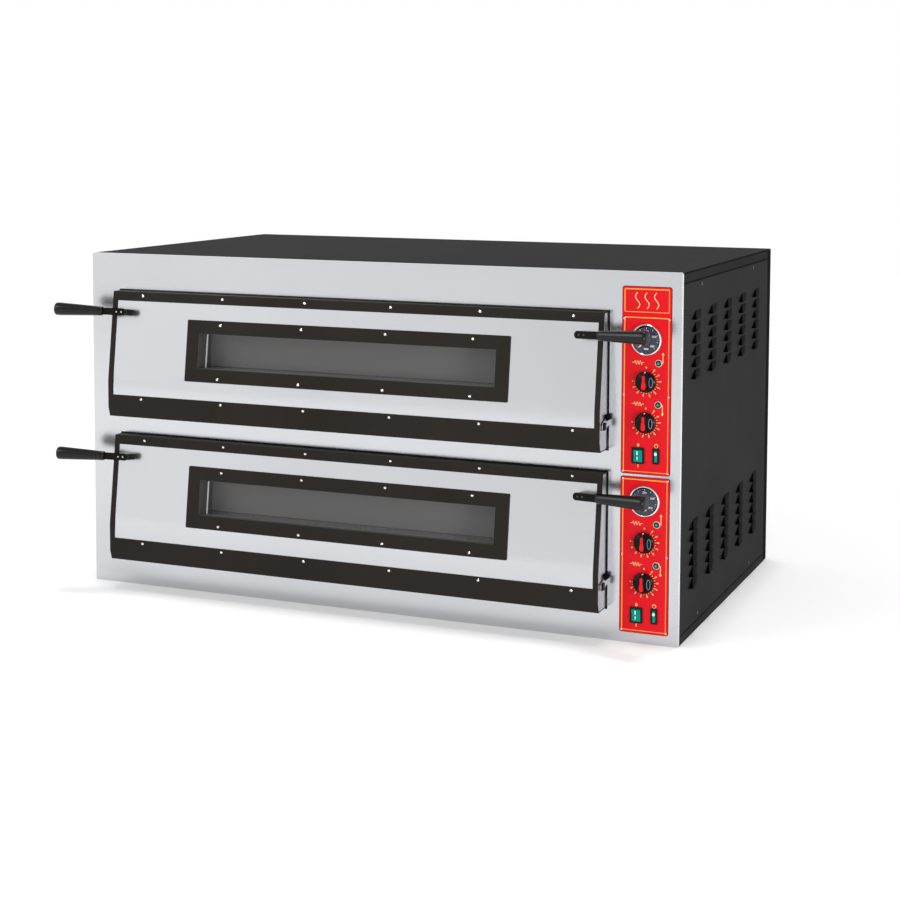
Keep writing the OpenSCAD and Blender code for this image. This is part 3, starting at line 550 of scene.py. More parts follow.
def side_panel(node):
    """Side sheet with its slots cut out and a scoop over each slot."""
    low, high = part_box(node)
    sheet = 0.002
    right = high.x > 0
    outward = 1 if right else -1
    face = PANEL_HIGH.x if right else PANEL_LOW.x
    rise = (high.x - face) if right else (face - low.x)
    starts_y = [FRONT_Y + LOUVRE_START_Y + i * LOUVRE_PITCH[0] for i in range(LOUVRE_COLUMNS)]
    starts_z = [g + i * LOUVRE_PITCH[1] for g in LOUVRE_GROUPS for i in range(LOUVRE_ROWS)]
    ys = sorted([low.y, high.y] + starts_y + [y + LOUVRE_SLOT for y in starts_y])
    zs = sorted([low.z, high.z] + starts_z + [z + LOUVRE_HEIGHT for z in starts_z])
    shape, hoods = Shape(), Shape()
    open_cells = {(ys.index(y), zs.index(z)) for y in starts_y for z in starts_z}
    inside = face - outward * sheet
    for i in range(len(ys) - 1):
        for j in range(len(zs) - 1):
            if (i, j) in open_cells:
                continue
            corners = [(ys[i], zs[j]), (ys[i + 1], zs[j]),
                       (ys[i + 1], zs[j + 1]), (ys[i], zs[j + 1])]
            shape.add([(face, y, z) for y, z in corners], [(0, 1, 2, 3)])
            shape.add([(inside, y, z) for y, z in corners], [(3, 2, 1, 0)])
    for i, j in open_cells:
        kept = [(ys[i], zs[j]), (ys[i + 1], zs[j + 1]), (ys[i], zs[j + 1])]
        shape.add([(face, y, z) for y, z in kept], [(0, 1, 2)])
        shape.add([(inside, y, z) for y, z in kept], [(2, 1, 0)])
        slot = [(ys[i], zs[j]), (ys[i + 1], zs[j]), (ys[i + 1], zs[j + 1])]
        cut_edges(shape, slot, face, inside)
    outline = [(low.y, low.z), (high.y, low.z), (high.y, high.z), (low.y, high.z)]
    cut_edges(shape, outline, face, inside)
    for y in starts_y:
        for z in starts_z:
            louvre_hood(hoods, y, z, face, outward, rise)
    shape.piece(node + "_sheet", OVEN, "casing_paint", [node])
    # the scoops take a darker copy of the casing paint, painted shade for their upward faces
    hoods.piece(node + "_louvres", OVEN, "louvre_painted_shade")


side_panel("left_side_panel")
side_panel("right_side_panel")


def casing_painted_seam_shade():
    """Painted shade: dark strips beside the folded edges of the lid, the base and the back.
    Painted
    highlights: bright steel strips on the side edges of the front panel."""
    cover_low, cover_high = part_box("top_cover")
    _, side_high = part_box("right_side_panel")
    proud, gap, bend, margin, back_fold = 0.00015, 0.0036, 0.0006, 0.003, 0.008
    base_seam_low, base_seam_high = 0.0175, 0.0205
    edge_front, edge_back = FRONT_Y + 0.0012, cover_low.y - 0.0004
    fold_y = cover_high.y - back_fold
    dark, bright = Shape(), Shape()
    # dark strips: painted shade along the folds; bright strips: painted highlight on the side
    # flanges
    for side in (-1, 1):
        face = PANEL_HIGH.x if side > 0 else PANEL_LOW.x
        x0, x1 = sorted((face - side * proud, face + side * proud))
        for top in (cover_high.z - bend, side_high.z - gap / 4):
            dark.box((x0, cover_low.y, top - gap), (x1, cover_high.y, top))
        dark.box((x0, cover_low.y, base_seam_low), (x1, fold_y, base_seam_high))
        dark.box((x0, fold_y, margin), (x1, BACK_HIGH.y - margin, BACK_HIGH.z - margin))
        bright.box((x0, edge_front, margin), (x1, edge_back, PANEL_HIGH.z - margin))
    dark.piece("casing_painted_seam_shade", OVEN, "dark_gap_and_painted_shade")
    bright.piece("front_panel_painted_edge_highlights", OVEN, "steel_painted_highlight")


casing_painted_seam_shade()

# ---------- chambers and what is inside ----------

for deck in DECKS:
    dressed(deck + "_door_surround", OVEN, "liner_steel")
    dressed(deck + "_chamber", OVEN, "liner_steel")
    dressed(deck + "_stones", OVEN, "stone", 0.0015)
    left_plain(deck + "_elements", "element_steel")
left_plain("insulation_boards", "mineral_wool")
left_plain("control_bay_wall", "liner_steel")
left_plain("chamber_lamps", "lamp_glass")
left_plain("thermostats", "liner_steel")
dressed("terminal_block", OVEN, "cream_plastic", 0.001)
dressed("cable_gland", OVEN, "black_plastic", 0.0006)
dressed("hinge_brackets", OVEN, "side_steel", 0.0003)

# ---------- screws ----------


def screw_axis(points):
    """Place of a screw's seat with z out of its head, head radius, head height, shank radius
    and shank length."""
    _, a, b = max(((p - q).length, i, j) for i, p in enumerate(points)
                  for j, q in enumerate(points[:i]))
    groups = [[], []]
    for p in points:
        groups[(p - points[a]).length < (p - points[b]).length].append(p)
    ends = []
    for group in groups:
        centre = sum(group, Vector()) / len(group)
        ends.append((max((p - centre).length for p in group), centre))
    tail, head = (end[1] for end in sorted(ends, key=lambda end: end[0]))
    way = (head - tail).normalized()
    along = [(p - tail).dot(way) for p in points]
    off = [((p - tail) - way * (p - tail).dot(way)).length for p in points]
    radius, head_share, shank_share = max(off), 0.97, 0.3
    seat = min(a for a, r in zip(along, off) if r > radius * head_share)
    shank = min(r for r in off if r > radius * shank_share)
    turn = way.to_track_quat("Z", "Y").to_matrix().to_4x4()
    place = Matrix.Translation(tail + way * seat) @ turn
    return place, radius, max(along) - seat, shank, seat - min(along)


def screw_heads(node, groups, body):
    """Domed cross-head screws in the places and directions of the CAD screws, one piece for
    each (name, finish, head scale, test of the head's place and direction)."""
    screws = [screw_axis(points) for points in islands(node)]
    for number_of, (name, finish, scale, wanted) in enumerate(groups):
        shape = Shape()
        for place, radius, height, shank, length in screws:
            if wanted(place.translation, place.col[2].xyz):
                cross_head(shape, place, radius * scale, height)
                shape.turned([(0.0, -length), (shank, -length), (shank, 0.0)], place, 16)
        shape.piece(name, body, finish, [node] if number_of == 0 else ())


screw_heads("casing_screws", [
    ("plate_screw_heads", "screw_steel", 1.0, lambda at, way: way.y < -0.5),
    ("casing_screw_heads", "screw_black", 1.0, lambda at, way: way.y > -0.5),
], OVEN)

# ---------- doors ----------

WINDOW_BORDER = 0.029
REVEAL_WALL = 0.0006
DOOR_BEND = 0.024


def leaning_frame(node):
    """Frame on the leaning front of a door plate: origin in its middle, x across, y up the
    face and z out of it; with its half width and half height."""
    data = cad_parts[node].data
    best = max(
        (f for f in data.polygons if f.normal.y < -0.5 and f.normal.z > 0.02),
        key=lambda f: f.area,
    )
    out = best.normal.copy()
    across = Vector((1.0, 0.0, 0.0))
    up = out.cross(across).normalized()
    us = [v.co.dot(across) for v in data.vertices]
    vs = [v.co.dot(up) for v in data.vertices]
    w = data.vertices[best.vertices[0]].co.dot(out)
    origin = across * (max(us) + min(us)) / 2 + up * (max(vs) + min(vs)) / 2 + out * w
    place = Matrix.Translation(origin) @ Matrix((across, up, out)).transposed().to_4x4()
    return place, (max(us) - min(us)) / 2, (max(vs) - min(vs)) / 2


def window_reveal(deck, body):
    """Lining of the window opening: black walls, a grey step along the bottom and, at the sides,
    a white strip painted as the highlight on the edge of the inner sheet."""
    place, half_w, half_h = leaning_frame(deck + "_window_frame")
    w, h = half_w - WINDOW_BORDER, half_h - WINDOW_BORDER
    glass_gap, corner_gap, lining_front = 0.004, 0.0005, -0.001
    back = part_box(deck + "_door_glasses")[0].y - place.translation.y - glass_gap
    strip_reach, strip_gap, strip_back, strip_front = 0.0016, 0.0012, -0.0395, -0.0350
    step_gap, step_tall, step_back, step_front = 0.002, 0.0010, -0.034, -0.018
    lining, step, strip = Shape(), Shape(), Shape()
    for side in (-1, 1):
        x0, x1 = sorted((side * w, side * (w - REVEAL_WALL)))
        lining.box((x0, -h + corner_gap, -back), (x1, h - corner_gap, lining_front), place)
        y0, y1 = sorted((side * h, side * (h - REVEAL_WALL)))
        lining.box((-w, y0, -back), (w, y1, lining_front), place)
        # white strips at the sides: painted highlight on the steel edge of the inner sheet
        x0, x1 = sorted((side * (w - REVEAL_WALL), side * (w - strip_reach)))
        strip.box((x0, -h + strip_gap, strip_back), (x1, h - strip_gap, strip_front), place)
    inside = -h + REVEAL_WALL
    step.box((-w + step_gap, inside, step_back),
             (w - step_gap, inside + step_tall, step_front), place)
    lining.piece(deck + "_window_lining", body, "lining_grey")
    strip.piece(deck + "_window_painted_edge_highlight", body, "white_and_painted_highlight")
    step.piece(deck + "_window_step", body, "step_grey")


def handle_side(way):
    """Whether a screw's direction is that of the slanting handle bars."""
    return abs(way.x) > 0.1


def hinge_details(deck, body):
    """Bright pin ends on the door with a dark plate behind each, and the dark tabs where the
    arms enter the casing."""
    end_r, end_thick, end_dome = 0.0026, 0.0010, 0.0001
    plate_depth, plate_height, plate_in, plate_out = 0.008, 0.007, 0.0020, 0.0002
    tab_in, tab_out, tab_back, tab_front, tab_foot, tab_top = (
        0.0045, 0.0006, 0.0012, 0.019, 0.009, 0.020)
    low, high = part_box(deck + "_hinge_pins")
    y, z = (low.y + high.y) / 2, (low.z + high.z) / 2
    plates, ends, tabs = Shape(), Shape(), Shape()
    for side, x in ((-1, low.x), (1, high.x)):
        turn = Matrix.Translation((x, y, z)) @ Matrix.Rotation(side * math.pi / 2, 4, "Y")
        ends.turned([(0.0, -end_thick), (end_r, -end_thick), (end_r, -end_dome), (0.0, 0.0)],
                    turn, 20)
        x0, x1 = sorted((x - side * plate_in, x - side * plate_out))
        plates.box((x0, y - plate_depth, z - plate_height),
                   (x1, y + plate_depth, z + plate_height))
        x0, x1 = sorted((x - side * tab_in, x - side * tab_out))
        tabs.box((x0, FRONT_Y - tab_front, z + tab_foot), (x1, FRONT_Y - tab_back, z + tab_top))
    plates.piece(deck + "_hinge_pin_plates", body, "dark_gap_and_painted_shade")
    ends.piece(deck + "_hinge_pin_ends", body, "white_and_painted_highlight")
    tabs.piece(deck + "_hinge_tabs", OVEN, "dark_gap_and_painted_shade")


for deck in DECKS:
    door = deck + "_door"
    dressed(deck + "_door_frame", door, "frame_black", 0.0008)
    dressed(deck + "_door_panel", door, "front_steel", 0.0002, DOOR_BEND)
    dressed(deck + "_window_frame", door, "frame_black", 0.0008)
    # door glasses: grey tone painted in for the panes' reflection
    dressed(deck + "_door_glasses", door, "oven_glass", 0.0003)
    dressed(deck + "_door_liner", door, "side_steel", 0.0004)
    left_plain(deck + "_door_insulation", "mineral_wool")
    dressed(deck + "_hinge_pins", door, "frame_black", 0.0004)
    hinge_details(deck, door)
    dressed(deck + "_handle_bars", door, "bar_black", 0.0007)
    dressed(deck + "_handle_grips", door, "grip_black", 0.0006)
    screw_heads(deck + "_door_screws", [
        (deck + "_door_screw_heads", "screw_steel", 0.9, lambda at, way: not handle_side(way)),
        (deck + "_handle_screw_heads", "screw_steel", 0.62,
         lambda at, way: handle_side(way) and at.x < 0),
        (deck + "_dark_handle_screw_heads", "screw_black", 0.62,
         lambda at, way: handle_side(way) and at.x > 0),
    ], door)
    window_reveal(deck, door)

# ---------- control column ----------

PRINT = 0.00012
LIFT = 0.00002
INK_Y = PLATE_Y - LIFT
dressed("upper_control_plate", OVEN, "red_plate", 0.0004)
dressed("lower_control_plate", OVEN, "red_plate", 0.0004)

GAUGE_LOW, GAUGE_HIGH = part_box("gauge_cases")
GAUGE_R = (GAUGE_HIGH.x - GAUGE_LOW.x) / 2
GAUGE_Z = {"upper": GAUGE_HIGH.z - GAUGE_R, "lower": GAUGE_LOW.z + GAUGE_R}
GAUGE_FRONT = GAUGE_LOW.y
LAMP_LOW, LAMP_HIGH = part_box("pilot_lamp_rings")
LAMP_R = (LAMP_HIGH.x - LAMP_LOW.x) / 2
LAMP_RING_R = LAMP_R * 0.86
LAMP_X = (LAMP_HIGH.x + LAMP_LOW.x) / 2
LAMP_Z = {
    "upper": (LAMP_HIGH.z - LAMP_R, LAMP_LOW.z + LAMP_R + DECK_PITCH),
    "lower": (LAMP_HIGH.z - LAMP_R - DECK_PITCH, LAMP_LOW.z + LAMP_R),
}
KNOBS = ("top_heat_knob", "bottom_heat_knob")
ROCKERS = ("heat_rocker", "light_rocker")
KNOB_R = (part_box("lower_top_heat_knob")[1].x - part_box("lower_top_heat_knob")[0].x) / 2


def number(text, size, place, shape):
    """Adds a dial number, cut from the built-in font, centred on the place."""
    curve = bpy.data.curves.new("number", "FONT")
    curve.body = text
    curve.size = size
    curve.align_x = "CENTER"
    curve.align_y = "CENTER"
    curve.extrude = PRINT / 2
    curve.resolution_u = 2
    curve.offset = size * 0.022
    holder = bpy.data.objects.new("number", curve)
    link(holder)
    mesh = bpy.data.meshes.new_from_object(
        holder.evaluated_get(bpy.context.evaluated_depsgraph_get())
    )
    lift = Matrix.Translation((0, 0, PRINT / 2))
    points = [v.co for v in mesh.vertices]
    shape.add(points, [tuple(f.vertices) for f in mesh.polygons], place @ lift)
    bpy.data.objects.remove(holder)
    bpy.data.curves.remove(curve)
    bpy.data.meshes.remove(mesh)


SCALE_R = KNOB_R + 0.0070


def knob_scale(shape, x, z):
    """Numbers and ticks round a knob, from nine o'clock down and round to one o'clock."""
    first, last, marks, size = 180, 415, 10, 0.0037
    tick_from, tick_to, tick_width = KNOB_R + 0.0008, KNOB_R + 0.0030, 0.0011
    for i in range(marks):
        angle = math.radians(first + (last - first) * i / (marks - 1))
        place = facing(x + SCALE_R * math.cos(angle), INK_Y, z + SCALE_R * math.sin(angle))
        flip = math.pi if math.cos(angle) < -0.1 else 0.0
        number(str(i * 50), size, place @ Matrix.Rotation(angle + flip, 4, "Z"), shape)
    for i in range(2 * marks - 1):
        angle = math.radians(first + (last - first) * i / (2 * marks - 2))
        place = facing(x, INK_Y, z) @ Matrix.Rotation(angle, 4, "Z")
        shape.line([(tick_from, 0), (tick_to, 0)], tick_width, PRINT, place)


def heater_symbol(shape, x, z):
    """Zigzag heating sign with a short lead at each end."""
    teeth, pitch, height, lead, stroke = 3, 0.0054, 0.0042, 0.0044, 0.0008
    place = facing(x, INK_Y, z)
    start = -teeth * pitch / 2
    shape.line([(start - lead, 0.0), (start, 0.0)], stroke, PRINT, place)
    shape.line([(-start, 0.0), (-start + lead, 0.0)], stroke, PRINT, place)
    turns = [(start, 0.0)]
    for i in range(teeth):
        turns += [(start + (i + 0.25) * pitch, height), (start + (i + 0.75) * pitch, -height)]
    turns.append((-start, 0.0))
    for a, b in zip(turns, turns[1:]):
        shape.line([a, b], stroke, PRINT, place)


def arrow(shape, x, z, way):
    """Arrow beside a lamp: up for the top elements and down for the bottom ones."""
    tall, head, stroke = 0.0215, 0.0028, 0.0012
    barb = way * (tall - 1.6 * head)
    place = facing(x, INK_Y, z)
    shape.line([(0, 0), (0, way * (tall - head))], stroke, PRINT, place)
    tip = [(-head, barb), (head, barb), (0, way * tall)]
    shape.prism(tip, 0.0, PRINT, place)


def steam_sign(shape, x, z):
    """Three wavy lines of rising heat in the field at the top of the plate."""
    apart, sway, steps, rise, stroke = 0.0195, 0.0045, 16, 0.0020, 0.0014
    for i in (-1, 0, 1):
        points = [(i * apart + sway * math.sin(t * 2 * math.pi / steps), (t - steps // 2) * rise)
                  for t in range(steps + 1)]
        shape.line(points, stroke, PRINT, facing(x, INK_Y, z))


def bulb_sign(shape, x, z):
    """Small light bulb."""
    bulb_r, cap_half, cap_y = 0.0034, 0.0016, -0.0046
    place = facing(x, INK_Y, z)
    shape.line(arc(0, 0, bulb_r, -60, 240, 14), 0.0010, PRINT, place)
    shape.line([(-cap_half, cap_y), (cap_half, cap_y)], 0.0012, PRINT, place)


INSET, BADGE = 0.0046, 0.0455


def plate_borders(deck):
    """Printed line round each field of one control plate; the badge field is on the upper."""
    low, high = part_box(deck + "_control_plate")
    inset, badge, gap, thin, thick = INSET, BADGE, 0.0112, 0.0013, 0.0021
    half = (high.x - low.x) / 2 - inset
    place = facing(PLATE_X, INK_Y, 0.0)
    shape = Shape()
    fields = [(low.z + inset, high.z - inset)]
    if deck == "upper":
        top = high.z - inset
        fields = [(low.z + inset, top - badge - gap), (top - badge, top)]
    for bottom, top in fields:
        shape.line([(-half, bottom), (-half, top)], thick, PRINT, place)
        shape.line([(half, bottom), (half, top)], thin, PRINT, place)
        shape.line([(-half, top), (half, top)], thick, PRINT, place)
        shape.line([(-half, bottom), (half, bottom)], thin, PRINT, place)
    return shape


def plate_signs(deck):
    """Heating signs, arrows, scales and switch signs of one control plate."""
    shape = Shape()
    if deck == "upper":
        steam_sign(shape, PLATE_X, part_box("upper_control_plate")[1].z - INSET - BADGE / 2)
    for lamp_z, way in zip(LAMP_Z[deck], (1, -1)):
        heater_symbol(shape, PLATE_X - 0.0165, lamp_z)
        arrow(shape, LAMP_X + LAMP_RING_R + 0.0016, lamp_z, way)
    for knob in KNOBS:
        at = middle(deck + "_" + knob)
        knob_scale(shape, at.x, at.z)
        number("0", 0.0055, facing(at.x, INK_Y, at.z + SCALE_R), shape)
    heat, light = middle(deck + "_heat_rocker"), middle(deck + "_light_rocker")
    reach = (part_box(deck + "_heat_rocker")[1].z - heat.z) + 0.0085
    number("0", 0.0085, facing(heat.x, INK_Y, heat.z + reach), shape)
    number("I", 0.0085, facing(heat.x, INK_Y, heat.z - reach), shape)
    bulb_sign(shape, light.x, light.z + reach)
    return shape


def plate_edge(deck):
    """Thin shadow line that the plate's raised rim casts all round it."""
    low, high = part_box(deck + "_control_plate")
    w, h = high.x - low.x, high.z - low.z
    place = facing(PLATE_X, FRONT_Y - 0.0001, (low.z + high.z) / 2)
    shape = Shape()
    shape.line(rounded(w + 0.0010, h + 0.0010, 0.0045), 0.0014, PRINT, place, closed=True)
    return shape


for deck in DECKS:
    plate_borders(deck).piece(deck + "_plate_borders", OVEN, "print_orange")
    plate_signs(deck).piece(deck + "_plate_print", OVEN, "print_yellow")
    plate_edge(deck).piece(deck + "_plate_shadow", OVEN, "dark_gap_and_painted_shade")

DIAL_R = GAUGE_R - 0.0036
DIAL_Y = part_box("gauge_dials")[0].y
GLASS_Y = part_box("gauge_glasses")[1].y
CAN_R, CAN_BACK = 0.0275, PLATE_Y - GAUGE_HIGH.y
DIAL_START, DIAL_SWEEP, DIAL_MARKS, DIAL_PARTS = 225, 270, 25, 8


def dial_print(marks, face):
    """Ticks round a thermometer's dial, every third one long, its numbers and a small plain
    field below the middle."""
    reach, number_r = DIAL_R - 0.0034, DIAL_R - 0.0110
    for i in range(DIAL_MARKS):
        angle = math.radians(DIAL_START - DIAL_SWEEP * i / (DIAL_MARKS - 1))
        length, width = (0.0034, 0.0010) if i % 3 == 0 else (0.0018, 0.0004)
        place = face @ Matrix.Rotation(angle, 4, "Z")
        marks.line([(reach - length, 0), (reach, 0)], width, PRINT, place)
    for i in range(0, DIAL_PARTS + 1, 2):
        angle = math.radians(DIAL_START - DIAL_SWEEP * i / DIAL_PARTS)
        at = (number_r * math.cos(angle), number_r * math.sin(angle), 0)
        number(str(i * 50), 0.0058, face @ Matrix.Translation(at), marks)
    marks.box((-0.0045, -0.0195, 0.0), (0.0045, -0.0165, PRINT), face)


def thermometers():
    """Bezels with the cans behind them, dials and glasses of both decks."""
    bezel, dial, marks, rim, glass = Shape(), Shape(), Shape(), Shape(), Shape()
    seat = PLATE_Y - GAUGE_FRONT
    for deck in DECKS:
        z = GAUGE_Z[deck]
        bezel.turned(
            [(DIAL_R, 0.0015), (DIAL_R, seat - 0.0008), (GAUGE_R - 0.0030, seat - 0.0001),
             (GAUGE_R - 0.0020, seat), (GAUGE_R - 0.0008, seat - 0.0010),
             (GAUGE_R, seat - 0.0028), (GAUGE_R, 0.0006), (GAUGE_R - 0.0006, 0.0),
             (CAN_R, 0.0), (CAN_R, CAN_BACK), (0.0, CAN_BACK)],
            facing(PLATE_X, PLATE_Y, z), 72)
        face = facing(PLATE_X, DIAL_Y - LIFT, z)
        dial.turned([(0.0, -0.0006), (DIAL_R, -0.0006), (DIAL_R, 0.0), (0.0, 0.0)], face, 64)
        rim.line(arc(0, 0, DIAL_R - 0.0016, -40, 220, 60), 0.0018, PRINT, face)
        dial_print(marks, face)
        glass.turned([(0.0, 0.0), (DIAL_R, 0.0), (DIAL_R, 0.0010), (DIAL_R * 0.6, 0.0015),
                      (0.0, 0.0017)], facing(PLATE_X, GLASS_Y, z), 64)
    bezel.piece("gauge_bezels", OVEN, "chrome_trim", ["gauge_cases"])
    dial.piece("gauge_dial_faces", OVEN, "dial_slate", ["gauge_dials"])
    marks.piece("gauge_dial_marks", OVEN, "print_white")
    rim.piece("gauge_dial_rims", OVEN, "dark_gap_and_painted_shade")
    glass.piece("gauge_glass_domes", OVEN, "clear_glass", ["gauge_glasses"])


def pilot_lamps():
    """Rings, the dark gaps inside them, lenses and their bright middles of all four lamps."""
    ring, gap, lens, glow = Shape(), Shape(), Shape(), Shape()
    inner, deep, lens_r = LAMP_RING_R - 0.0013, -0.010, LAMP_R * 0.54
    for z in LAMP_Z["upper"] + LAMP_Z["lower"]:
        place = facing(LAMP_X, PLATE_Y, z)
        ring.turned([(inner, deep), (inner, 0.0016), (LAMP_RING_R - 0.0010, 0.0020),
                     (LAMP_RING_R - 0.0003, 0.0014), (LAMP_RING_R, 0.0), (inner, deep)],
                    place, 40)
        gap.turned([(inner, 0.0008), (0.0, 0.0008)], place, 40)
        lens.turned([(lens_r, 0.0002), (lens_r, 0.0018), (lens_r * 0.85, 0.0030),
                     (lens_r * 0.5, 0.0036), (0.0, 0.0037)], place, 40)
        glow.turned([(lens_r * 0.48, 0.0030), (lens_r * 0.40, 0.0038), (0.0, 0.0039)], place, 24)
    ring.piece("pilot_lamp_bezels", OVEN, "cream_plastic", ["pilot_lamp_rings"])
    gap.piece("pilot_lamp_gaps", OVEN, "dark_gap_and_painted_shade")
    lens.piece("pilot_lamp_domes", OVEN, "green_lens", ["pilot_lamp_lenses"])
    glow.piece("pilot_lamp_glows", OVEN, "lens_glow")


thermometers()
for deck in DECKS:
    dressed(deck + "_gauge_needle", deck + "_gauge_needle", "print_white", 0.0001)
pilot_lamps()


def wing(half_w, half_l, waist):
    """Outline of a knob's wing, narrower in the middle, with round ends."""
    points, steps, straight, ends = [], 8, 0.80, 0.20
    for side in (1, -1):
        for i in range(steps + 1):
            t = -1 + 2 * i / steps
            y = side * t * half_l * straight
            points.append((side * half_w * (1 - waist * (1 - t * t)), y))
        centre, start = side * half_l * straight, 0 if side > 0 else 180
        end = arc(0, centre, half_w, start, start + 180, 6)[1:-1]
        points += [(x, centre + (y - centre) * half_l * ends / half_w) for x, y in end]
    return points


def knob_piece(deck, knob):
    """Skirted knob with a waisted wing across it, a red marker along the wing, a white mark at
    zero and a silver oval line beside the wing, painted as the glint of light on the knob's top."""
    node = deck + "_" + knob
    low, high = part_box(node)
    back = FRONT_Y - 0.0040
    place = facing((low.x + high.x) / 2, back, (low.z + high.z) / 2)
    tall = back - low.y
    wing_top, cap_top, spindle_r = tall - 0.0020, tall - 0.0006, 0.003
    body = Shape()
    body.turned(
        [(0.0, 0.0), (KNOB_R - 0.0010, 0.0), (KNOB_R, 0.0010), (KNOB_R, 0.0042),
         (KNOB_R - 0.0008, 0.0052), (KNOB_R - 0.0030, 0.0062), (KNOB_R - 0.0055, 0.0080),
         (KNOB_R * 0.62, 0.0092), (0.0, 0.0092)],
        place, 72)
    low_wing, high_wing = wing(0.0085, KNOB_R - 0.0015, 0.15), wing(0.0052, KNOB_R - 0.0035, 0.10)
    body.prism(low_wing, 0.0060, wing_top, place, high_wing)
    body.prism(high_wing, wing_top, cap_top, place, wing(0.0044, KNOB_R - 0.0045, 0.10))
    body.turned([(spindle_r, -0.020), (spindle_r, 0.001)], place, 24)
    body.piece(node + "_body", node, "knob_black", [node], 0.0003)
    marker = Shape()
    outline = arc(0, -0.0095, 0.0043, 180, 360, 8) + [(0.0040, -0.0030), (0.0026, 0.0030)]
    outline += arc(0, 0.0115, 0.0030, 0, 180, 8) + [(-0.0026, 0.0030), (-0.0040, -0.0030)]
    marker.prism(outline, tall - 0.0010, tall - 0.0001, place)
    marker.piece(node + "_marker", node, "knob_red", (), 0.0001)
    zero, rim, half, deep = Shape(), KNOB_R - 0.0002, 0.0036, 0.0055
    zero.prism([(-half, rim - deep), (half, rim - deep), (0.0, rim)], 0.0050, 0.0094, place)
    zero.piece(node + "_zero", node, "print_white")
    # silver oval ring: a painted glint standing in for light caught on the knob's top beside the
    # wing
    glint_ring, glint_x, glint_w, glint_h, steps = Shape(), 0.0128, 0.0036, 0.0098, 28
    oval = [(glint_x + glint_w * math.cos(a), glint_h * math.sin(a))
            for a in (2 * math.pi * i / steps for i in range(steps))]
    glint_ring.line(oval, 0.0011, 0.0006, place @ Matrix.Translation((0, 0, 0.0090)), closed=True)
    glint_ring.piece(node + "_painted_glint_ring", node, "knob_painted_glint")


def rocker_marks(deck, rocker, marks):
    """Bright strokes (x, y, width, height) let into the middle of a rocker's face."""
    node = deck + "_" + rocker
    low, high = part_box(node)
    place = facing((low.x + high.x) / 2, low.y, (low.z + high.z) / 2)
    shape, depth, rounding = Shape(), 0.0030, 0.45
    for mark_x, mark_y, w, h in marks:
        outline = rounded(w, h, min(w, h) * rounding, 3)
        shape.prism([(x + mark_x, y + mark_y) for x, y in outline], -depth, 0.0, place)
    shape.piece(node + "_marks", node, "rocker_light")


for deck in DECKS:
    for knob in KNOBS:
        knob_piece(deck, knob)
    for rocker in ROCKERS:
        node = deck + "_" + rocker
        dressed(node, node, "green_rocker", 0.0003)
    rocker_marks(deck, "heat_rocker", [(-0.0010, 0.0060, 0.0022, 0.0085),
                                       (-0.0010, -0.0050, 0.0014, 0.0070)])
    rocker_marks(deck, "light_rocker", [(0.0, 0.0050, 0.0050, 0.0065)])
dressed("rocker_cases", OVEN, "black_plastic", 0.0002)

# ---------- floor, light and camera ----------


def floor():
    """Pale paper sweep that glows a little, so that its open parts stay white."""
    size = 9.0
    mesh = bpy.data.meshes.new("floor")
    mesh.from_pydata([(-size, -size, 0), (size, -size, 0), (size, size, 0), (-size, size, 0)], [],
                     [(0, 1, 2, 3)])
    made = Finish("floor", grey(0.62), 0.8, specular=0.0, Emission_Color=(1.0, 1.0, 1.0, 1.0),
                  Emission_Strength=0.26)
    mesh.materials.append(made.material)
    piece = bpy.data.objects.new("floor", mesh)
    link(piece)


def area_light(name, place, target, size, power):
    """Rectangular soft box at a place, turned to its target."""
    data = bpy.data.lights.new(name, "AREA")
    data.shape = "RECTANGLE"
    data.size, data.size_y = size
    data.energy = power
    light = bpy.data.objects.new(name, data)
    light.location = place
    light.rotation_euler = (Vector(target) - Vector(place)).to_track_quat("-Z", "Y").to_euler()
    link(light)


def overhead_sun(strength, width, lean_x, lean_y):
    """Soft light from above for the shadow under the oven; angles in degrees."""
    data = bpy.data.lights.new("overhead", "SUN")
    data.energy = strength
    data.angle = math.radians(width)
    light = bpy.data.objects.new("overhead", data)
    light.rotation_euler = (math.radians(lean_x), math.radians(lean_y), 0.0)
    link(light)


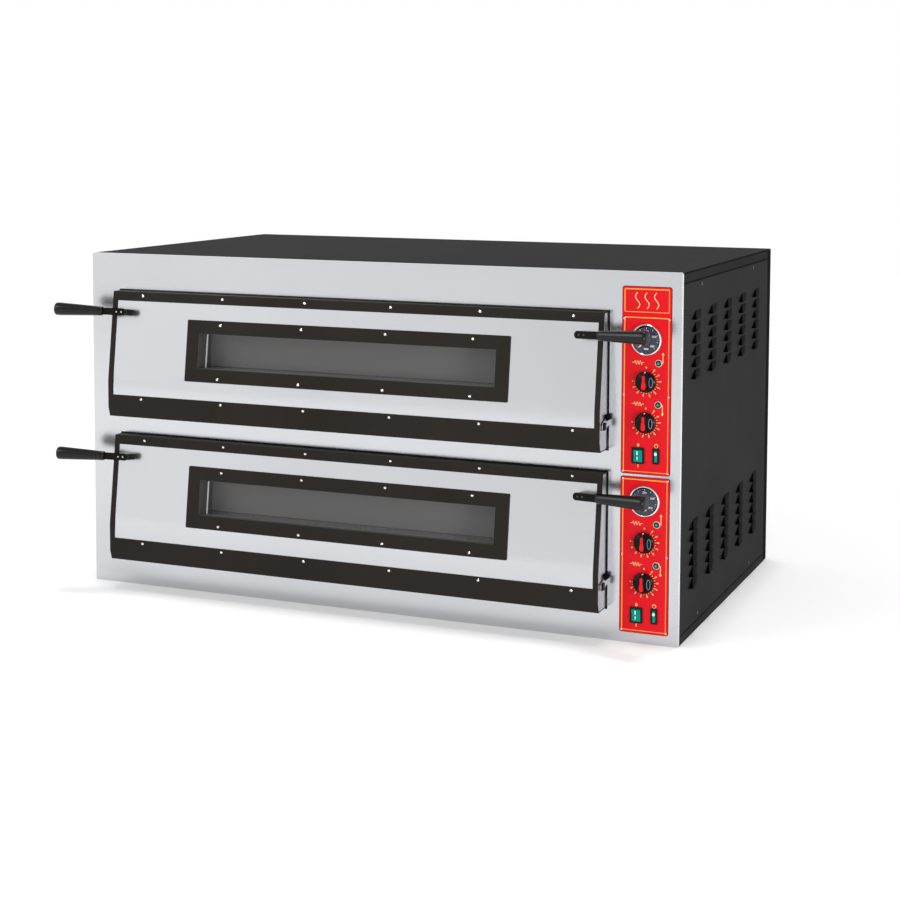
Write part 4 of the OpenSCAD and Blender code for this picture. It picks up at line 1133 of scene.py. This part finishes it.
def sky():
    """White studio walls under a darker ceiling, brighter on the left, which light the oven;
    the camera itself sees a plain white backdrop."""
    levels = ((0.25, 1.0), (0.50, 0.74), (0.9, 0.40))
    sides = {"From Min": -0.62, "From Max": -0.22, "To Min": 1.18, "To Max": 0.91}
    world = bpy.data.worlds.new("studio")
    bpy.context.scene.world = world
    world.use_nodes = True
    nodes, links = world.node_tree.nodes, world.node_tree.links
    background = nodes["Background"]
    coordinates = nodes.new("ShaderNodeTexCoord")
    split = nodes.new("ShaderNodeSeparateXYZ")
    ramp = nodes.new("ShaderNodeValToRGB")
    elements = ramp.color_ramp.elements
    elements.new(0.5)
    for element, (position, level) in zip(elements, levels):
        element.position = position
        element.color = (level, level, level, 1.0)
    links.new(coordinates.outputs["Generated"], split.inputs["Vector"])
    links.new(split.outputs["Z"], ramp.inputs["Fac"])
    links.new(ramp.outputs["Color"], background.inputs["Color"])
    side = nodes.new("ShaderNodeMapRange")
    for socket, value in sides.items():
        side.inputs[socket].default_value = value
    links.new(split.outputs["X"], side.inputs["Value"])
    links.new(side.outputs["Result"], background.inputs["Strength"])
    backdrop = nodes.new("ShaderNodeBackground")
    backdrop.inputs["Color"].default_value = (1.0, 1.0, 1.0, 1.0)
    seen = nodes.new("ShaderNodeLightPath")
    mix = nodes.new("ShaderNodeMixShader")
    links.new(seen.outputs["Is Camera Ray"], mix.inputs["Fac"])
    links.new(background.outputs["Background"], mix.inputs[1])
    links.new(backdrop.outputs["Background"], mix.inputs[2])
    links.new(mix.outputs["Shader"], nodes["World Output"].inputs["Surface"])


floor()
sky()
area_light("key", place=(-2.6, -3.0, 3.0), target=(-0.3, -0.6, 0.2), size=(2.5, 2.5), power=60.0)
area_light("side_fill", place=(2.1, -1.5, 0.45), target=(0.69, -0.25, 0.35), size=(0.5, 0.3),
           power=14.0)
overhead_sun(strength=2.0, width=11, lean_x=-2.2, lean_y=-0.4)

# Camera at the photograph's place: turned to the left and slightly down
CAMERA_PLACE = (1.5810, -3.7367, 1.0248)
CAMERA_YAW = math.radians(22.622)
CAMERA_PITCH = math.radians(-4.347)
CAMERA_ROLL = math.radians(0.184)
FOCAL_LENGTH, SENSOR_WIDTH = 70.065, 36.0
LENS_SHIFT = -0.2056
camera_data = bpy.data.cameras.new("camera")
camera_data.lens = FOCAL_LENGTH
camera_data.sensor_width = SENSOR_WIDTH
camera_data.shift_y = LENS_SHIFT
camera = bpy.data.objects.new("camera", camera_data)
camera.matrix_world = (
    Matrix.Translation(CAMERA_PLACE)
    @ Matrix.Rotation(CAMERA_YAW, 4, "Z")
    @ Matrix.Rotation(math.radians(90) + CAMERA_PITCH, 4, "X")
    @ Matrix.Rotation(CAMERA_ROLL, 4, "Z")
)
link(camera)
bpy.context.scene.camera = camera
bpy.context.scene.view_settings.view_transform = "Standard"
